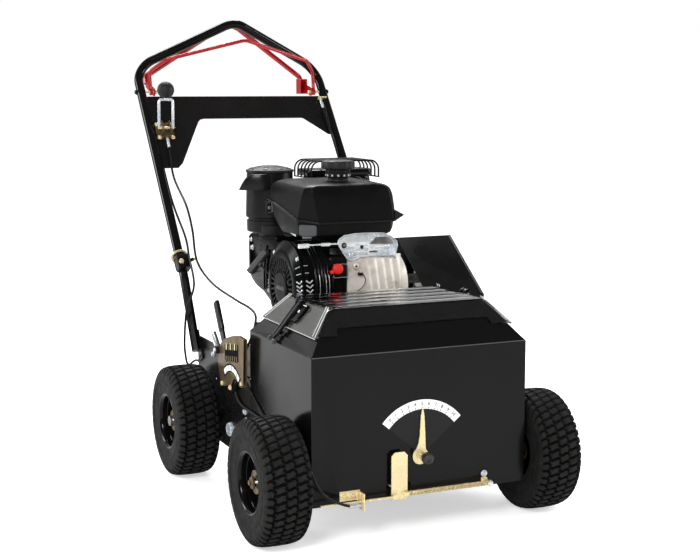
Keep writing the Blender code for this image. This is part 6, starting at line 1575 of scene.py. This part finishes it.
class SEEDER_OT_controls(Maker, bpy.types.Operator):
    """Build the governor plate with its linkage and the stop knob"""
    bl_idname = "seeder.controls"
    bl_label = "Engine controls"

    def make(self, looks):
        form = Form("bright_zinc", "bare_steel", "soft_rubber", "grey_plastic")
        outline = rounded([(-0.0370, 0.6070), (-0.0320, 0.6170), (-0.0190, 0.6250), (0.0100, 0.6285),
                           (0.0380, 0.6290),
                           (0.0850, 0.6270), (0.1060, 0.6180), (0.1210, 0.6060), (0.1235, 0.5960),
                           (0.1190, 0.5800),
                           (0.1165, 0.5690), (0.0480, 0.5710), (0.0230, 0.5712), (0.0150, 0.5670),
                           (0.0050, 0.5632),
                           (-0.0060, 0.5640), (-0.0120, 0.5690), (-0.0220, 0.5830)], 0.0040, 4)
        holes = [circle((-0.0190, 0.6010), 0.0058, 28)[::-1], circle((0.0280, 0.5950), 0.0040, 24)[::-1],
                 circle((0.0100, 0.5740), 0.0016, 14)[::-1]]
        form.plate(outline, -0.3057, -0.3030, "Y", 0, 0.0008, holes)
        rim = grown(outline, -0.0005)
        form.sweep(np.column_stack((rim[:, 0], np.full(len(rim), 0.3020), rim[:, 1])), 0.0016, 0, 10,
                   closed=True)
        form.lathe([(0, 0.0066), (0.0010, 0.0066), (0.0014, 0.0058)], (-0.0190, 0.3030, 0.6010), -Y_AXIS, 28,
                   "soft_rubber")
        form.lathe([(0, 0.0042), (0.0010, 0.0042), (0.0014, 0.0036)], (0.0280, 0.3030, 0.5950), -Y_AXIS, 24,
                   "soft_rubber")
        form.cuboid((0.0460, 0.2986, 0.5822), (0.0665, 0.3000, 0.5850), "grey_plastic")
        pad = rounded([(0.0450, 0.5720), (0.1150, 0.5700), (0.1180, 0.5900), (0.1140, 0.5990),
                       (0.0450, 0.6020)], 0.003)
        form.plate(pad, -0.3035, -0.2990, "Y", 0, 0.0010, [circle((0.0525, 0.5935), 0.0016, 14)[::-1],
                                                          rounded([(0.0430 + 0.0040, 0.5815),
                                                                   (0.0660, 0.5815),
                                                                   (0.0660, 0.5845), (0.0470, 0.5845)],
                                                                   0.001)[::-1]])
        shelf = [(0.0455, 0.6000), (0.1140, 0.5985), (0.1080, 0.6080), (0.0960, 0.6170), (0.0640, 0.6180)]
        form.plate(rounded(shelf, 0.0015, 4), -0.3036, -0.3005, "Y", "bare_steel", 0.0006)
        for at, size in (((0.0945, 0.5935), 0.0062), ((0.0945, 0.5785), 0.0050), ((-0.0005, 0.5768), 0.0062)):
            form.lathe([(0, size), (0.0012, size), (0.0018, size * 0.85), (0.0012, size * 0.62),
                        (0.0012, size * 0.40),
                        (0.0026, size * 0.34)], (at[0], 0.3000 if at[0] > 0.04 else 0.3035, at[1]), -Y_AXIS,
                        28, 0)
        form.bolt((-0.0190, 0.3040, 0.6010), -Y_AXIS, 0.0034, "bare_steel")
        form.bolt((0.1160, 0.3020, 0.5690), -Y_AXIS, 0.0036, 0)
        form.bolt((0.0560, 0.3030, 0.6120), -Y_AXIS, 0.0026, 0)
        form.beam((-0.1380, 0.2990, 0.6045), (-0.1120, 0.2990, 0.6055), 0.0100, 0.0100, Z_AXIS, 0, 0.0012)
        form.beam((-0.1130, 0.2990, 0.6065), (-0.0330, 0.2990, 0.6065), 0.0038, 0.0030, Z_AXIS, 0, 0.0006)
        form.beam((-0.0800, 0.2985, 0.6060), (-0.0570, 0.2985, 0.6060), 0.0080, 0.0036, Z_AXIS, 0, 0.0010)
        form.cuboid((0.0000, 0.3040, 0.5640), (0.0120, 0.3110, 0.5720), 0)
        form.cuboid((0.0980, 0.3040, 0.5640), (0.1080, 0.3110, 0.5720), 0)
        form.build("governor_plate_form", "chassis", ("governor_plate",), sharp=35)
        knob = Form("red_plastic")
        x, y, z = -0.0440, 0.2877, 0.5480
        knob.lathe([(0.0, 0.0122), (0.0015, 0.0128), (0.0080, 0.0128), (0.0105, 0.0116), (0.0118, 0.0084)],
                   (x, y, z),
                   -Y_AXIS, 40)
        knob.beam((x, y - 0.0050, z - 0.001), (x - 0.0200, y - 0.0050, z - 0.0085), 0.0090, 0.0080, Y_AXIS, 0,
                  0.0015)
        knob.rod((x, y - 0.001, z), (x, y + 0.009, z), 0.0040)
        knob.build("red_stop_knob", "stop", ("stop_knob",))


# Handle

class SEEDER_OT_handle(Maker, bpy.types.Operator):
    """Build the handle's tubes and plate, the bails, the seed lever and the control cables"""
    bl_idname = "seeder.handle"
    bl_label = "Handle"

    def make(self, looks):
        self.tubes()
        dressed("handle_plate", "chassis", "satin_black", 0.0006)
        self.bails()
        self.lever()
        self.cables()

    def tubes(self):
        for side, hand in ((-1, "right"), (1, "left")):
            dressed(f"lower_handle_{hand}", "chassis", "gloss_black", 0.0008)
            form = Form("yellow_zinc", "satin_black")
            x = side * LEG_X
            form.beam(on_leg(-0.0340, 0.0150, x), on_leg(0.0060, 0.0150, x), 0.0330, 0.0280, X_AXIS,
                      "satin_black")
            form.lathe([(-0.0016, 0.0225), (0.0016, 0.0225), (0.0016, 0.0180), (-0.0016, 0.0180)],
                       on_leg(0.0150, 0, x), unit(LEG - 0.35 * LEG_FRONT), 40, "yellow_zinc", loop=True)
            form.bolt(on_leg(-0.0180, 0.0295, x - 0.0080), LEG_FRONT, 0.0062, "yellow_zinc", washer=False)
            form.rod(on_leg(-0.0080, 0.0100, x + 0.0120), on_leg(-0.0020, 0.0120, x + 0.0320), 0.0052,
                     "satin_black")
            form.lathe([(0, 0.0046), (0.0050, 0.0046), (0.0060, 0.0032)], on_leg(-0.0020, 0.0120, x + 0.0320),
                       X_AXIS, 20, "yellow_zinc")
            form.bolt((side * 0.2695, 0.664, 0.310), X_AXIS * side, 0.0055, "yellow_zinc")
            form.bolt((side * 0.2695, 0.676, 0.335), X_AXIS * side, 0.0055, "yellow_zinc")
            form.build(f"handle_bolts_{hand}", "chassis")
        form = Form("gloss_black", "yellow_zinc", "satin_black")
        right, left = -LEG_X, LEG_X
        path = bent([on_leg(0.0002, 0, right), (right, 1.1870, 1.0300), (0, 1.1260, 1.1630),
                     (left, 1.1870, 1.0300),
                     on_leg(0.0002, 0, left)], (0.070, 0.060, 0.070), 16)
        form.sweep(path, 0.0127, 0, 32)
        at = on_leg(0.5630)
        for side in (-1, 1):
            outer = side * (LEG_X + 0.0127)
            form.bolt((outer, at[1], at[2]), X_AXIS * side, 0.0056, "satin_black")
            form.rod((side * LEG_X, at[1], at[2]), (side * 0.2350, at[1], at[2]), 0.0040, "yellow_zinc")
            form.bolt((side * 0.2360, at[1], at[2]), X_AXIS * -side, 0.0050, "yellow_zinc", washer=False)
            inner = LEG_X - 0.0127 - 0.014
            middle = side * (LEG_X + inner) / 2
            front = side * 0.0110
            form.beam(on_leg(0.5300, front, middle), on_leg(0.5320, front, middle), LEG_X - inner, 0.016,
                      X_AXIS,
                      "yellow_zinc", 0.0006)
        form.build("upper_handle_tube", "chassis", ("upper_handle",))

    def bails(self):
        at = on_leg(0.5630)
        pivot = (at[1], at[2])
        form = Form("red_paint", "yellow_zinc")
        x = 0.2500
        half = [(x, *pivot), (x + 0.0010, 1.1430, 1.0200), (0.2140, 1.0980, 1.0530), (0, 1.0350, 1.1080)]
        form.sweep(bent(half + [(-px, py, pz) for px, py, pz in half[-2::-1]], (0.020, 0.030, 0.030, 0.030,
                                                                                0.020), 9),
                   0.0050, 0, 18)
        for side in (-1, 1):
            form.lathe([(0, 0.0095), (0.006, 0.0095), (0.006, 0.0043), (0, 0.0043)],
                       (side * x - 0.003, at[1], at[2]), X_AXIS, 28, 0, loop=True)
        form.build("thin_bail", "traction_control", ("traction_bail",), sharp=50)
        dressed("blade_bail", "blade_control", "red_paint", 0.0006, name="thick_bail")

    def lever(self):
        dressed("lever_bracket", "chassis", "olive_zinc", 0.0005)
        x = -0.2380
        pivot = on_leg(0.4225, 0.0200, x)
        form = Form("bright_zinc", "matte_plastic", "yellow_zinc")
        top = pivot + (0, -0.003, 0.078)
        reach = np.array((0.0200, 0, 0))
        form.sweep(bent([pivot - reach, top - reach, top + reach, pivot + reach], (0.008, 0.008), 8), 0.0040,
                   0, 16)
        form.rod(pivot - reach * 1.15, pivot + reach * 1.15, 0.0040, "yellow_zinc")
        ball = pivot + (0, -0.003, 0.1040)
        form.rod(top, ball, 0.0070, "bright_zinc")
        turn = np.linspace(-math.pi / 2 + 0.05, math.pi / 2 - 0.05, 30)
        form.lathe(np.stack((0.0235 * np.sin(turn), 0.0235 * np.cos(turn)), -1), ball, Z_AXIS, 48,
                   "matte_plastic")
        form.build("seed_lever_form", "seed_control", ("seed_lever",))
        bolts = Form("yellow_zinc")
        for along in (0.400, 0.445):
            for shift in (-0.019, 0.019):
                bolts.bolt(on_leg(along, 0.0048, x + shift), LEG_FRONT, 0.0042, "yellow_zinc")
        bolts.build("lever_bolts", "chassis")

    def cables(self):
        """Sheathed cables along smooth paths, with metal ferrules at their ends."""
        clear, stop = 0.26205, 0.25885
        gate = [on_leg(0.3945, 0.0100, -0.2380), on_leg(0.3600, 0.0130, -0.2400),
                on_leg(0.2600, 0.0160, -0.2480),
                (-0.2589, 0.7900, 0.6684), (-0.2569, 0.7450, 0.6063), (-0.2600, 0.7000, 0.5302),
                (-0.2464, 0.6200, 0.4821), (-0.2315, 0.4800, 0.4573), (-0.2290, 0.3900, 0.4504),
                (-0.2360, 0.3280, 0.4380), (-0.2500, 0.3190, 0.3950), (-0.2670, 0.3330, 0.3450),
                (-0.2695, 0.3650, 0.2950), (-0.2695, 0.3800, 0.2500), (-0.2700, 0.3400, 0.2270),
                (-0.2700, 0.2400, 0.2230), (-0.2700, 0.1200, 0.2180), (-0.2700, 0.0000, 0.2150),
                (-0.2710, -0.0650, 0.2000), (-0.2660, -0.0960, 0.1600), (-0.2420, -0.1020, 0.1220),
                (-0.2050, -0.1010, 0.1000),
                (-0.1760, -0.0980, 0.0900), (-0.1563, -0.0980, 0.0900)]
        traction = [on_leg(0.5297, -0.0110, -stop), on_leg(0.4950, -0.0110, -stop),
                    on_leg(0.3800, -0.0080, -clear),
                    on_leg(0.2000, -0.0030, -clear), on_leg(0.0600, 0.0260, -0.2590),
                    on_leg(-0.0050, 0.0330, -0.2640), (-0.2850, 0.6500, 0.4750), (-0.2985, 0.6720, 0.4100),
                    (-0.2985, 0.6950, 0.3300), (-0.2930, 0.7080, 0.2850), (-0.2750, 0.7400, 0.2500),
                    (-0.2350, 0.7840, 0.2500), (-0.2000, 0.7500, 0.2120), (-0.1200, 0.7050, 0.2250),
                    (-0.0200, 0.6920, 0.2620), (0.0500, 0.6820, 0.2940), (0.0640, 0.6580, 0.3000),
                    (0.0640, 0.6324, 0.3000)]
        blade = [on_leg(0.5297, 0.0110, stop), on_leg(0.4950, 0.0110, stop), on_leg(0.3800, 0.0080, clear),
                 on_leg(0.2000, 0.0030, clear), on_leg(0.0600, 0.0030, clear - 0.006),
                 on_leg(-0.0400, 0.0030, clear - 0.006), (clear - 0.006, 0.7180, 0.4000),
                 (0.2510, 0.7180, 0.3200),
                 (0.2500, 0.7040, 0.2820), (0.2480, 0.6700, 0.2640), (0.2470, 0.5923, 0.2620)]
        for word, points in (("gate", gate), ("traction", traction), ("blade", blade)):
            form = Form("soft_rubber", "bright_zinc")
            path = spline(points, 0.010)
            form.sweep(path, 0.0030, "soft_rubber", 16)
            for near, far in ((0, 3), (-1, -4)):
                form.rod(path[near], path[far], 0.0040, "bright_zinc", 16)
            form.build(f"{word}_cable_form", "chassis", (f"{word}_cable",))


class SEEDER_OT_belt_guard(Maker, bpy.types.Operator):
    """Build the folded guard over the belt"""
    bl_idname = "seeder.belt_guard"
    bl_label = "Belt guard"

    def make(self, looks):
        form = Form("satin_black", "gloss_black", "bright_zinc", "grey_plastic")
        outline = [(0.2715, 0.3600), (0.2715, 0.4650), (0.4520, 0.5955), (0.4700, 0.5930), (0.5420, 0.5720),
                   (0.6050, 0.4560), (0.6050, 0.3600)]
        form.plate(rounded(outline, 0.0040, 5), 0.3480, 0.3500, "X", 0)
        thick = np.array([(0.2715, 0.3600), (0.2715, 0.4650), (0.4520, 0.5955), (0.4700, 0.5930),
                          (0.5420, 0.5720),
                          (0.6050, 0.4560), (0.6050, 0.3600), (0.6030, 0.3600), (0.6030, 0.4555),
                          (0.5408, 0.5702),
                          (0.4695, 0.5910), (0.4527, 0.5932), (0.2735, 0.4638), (0.2735, 0.3600)])
        form.plate(rounded(thick, 0.0004, 3), 0.1960, 0.3490, "X", 0, 0.0003)
        # Painted highlight: a light grey strip along the sloping top edge stands in for the light caught by
        # the fold there.
        form.beam((0.3450, 0.2735, 0.4668), (0.3450, 0.4512, 0.5957), 0.0060, 0.0012, X_AXIS, "grey_plastic",
                  0.0003)
        for y, z in ((0.2900, 0.3800), (0.5860, 0.3800), (0.4800, 0.5600)):
            form.bolt((0.3500, y, z), X_AXIS, 0.0055, "bright_zinc")
        form.build("belt_guard_sheet", "chassis", ("belt_guard",), sharp=30)


OPERATORS = (SEEDER_OT_studio, SEEDER_OT_wheels, SEEDER_OT_hopper, SEEDER_OT_lid, SEEDER_OT_gate,
             SEEDER_OT_chassis,
             SEEDER_OT_reel, SEEDER_OT_depth, SEEDER_OT_engine, SEEDER_OT_tank, SEEDER_OT_air_cleaner,
             SEEDER_OT_controls, SEEDER_OT_handle, SEEDER_OT_belt_guard)


class SEEDER_PT_sidebar(bpy.types.Panel):
    """The steps of the slice seeder's looks, in order"""
    bl_idname = "SEEDER_PT_sidebar"
    bl_label = "Slice Seeder"
    bl_space_type = "VIEW_3D"
    bl_region_type = "UI"
    bl_category = "Seeder"

    def draw(self, context):
        looks = context.scene.seeder_looks
        for word in looks.bl_rna.properties.keys():
            if word not in ("rna_type", "name"):
                self.layout.prop(looks, word)
        for operator in OPERATORS:
            self.layout.operator(operator.bl_idname)


def register():
    for entry in (SeederLooks, *OPERATORS, SEEDER_PT_sidebar):
        bpy.utils.register_class(entry)
    bpy.types.Scene.seeder_looks = bpy.props.PointerProperty(type=SeederLooks)


def unregister():
    del bpy.types.Scene.seeder_looks
    for entry in (SEEDER_PT_sidebar, *OPERATORS[::-1], SeederLooks):
        bpy.utils.unregister_class(entry)


def main():
    register()
    for operator in OPERATORS:
        group, name = operator.bl_idname.split(".")
        result = getattr(getattr(bpy.ops, group), name)()
        if result != {"FINISHED"}:
            raise RuntimeError(f"{operator.bl_idname} did not finish")


if __name__ == "__main__":
    main()
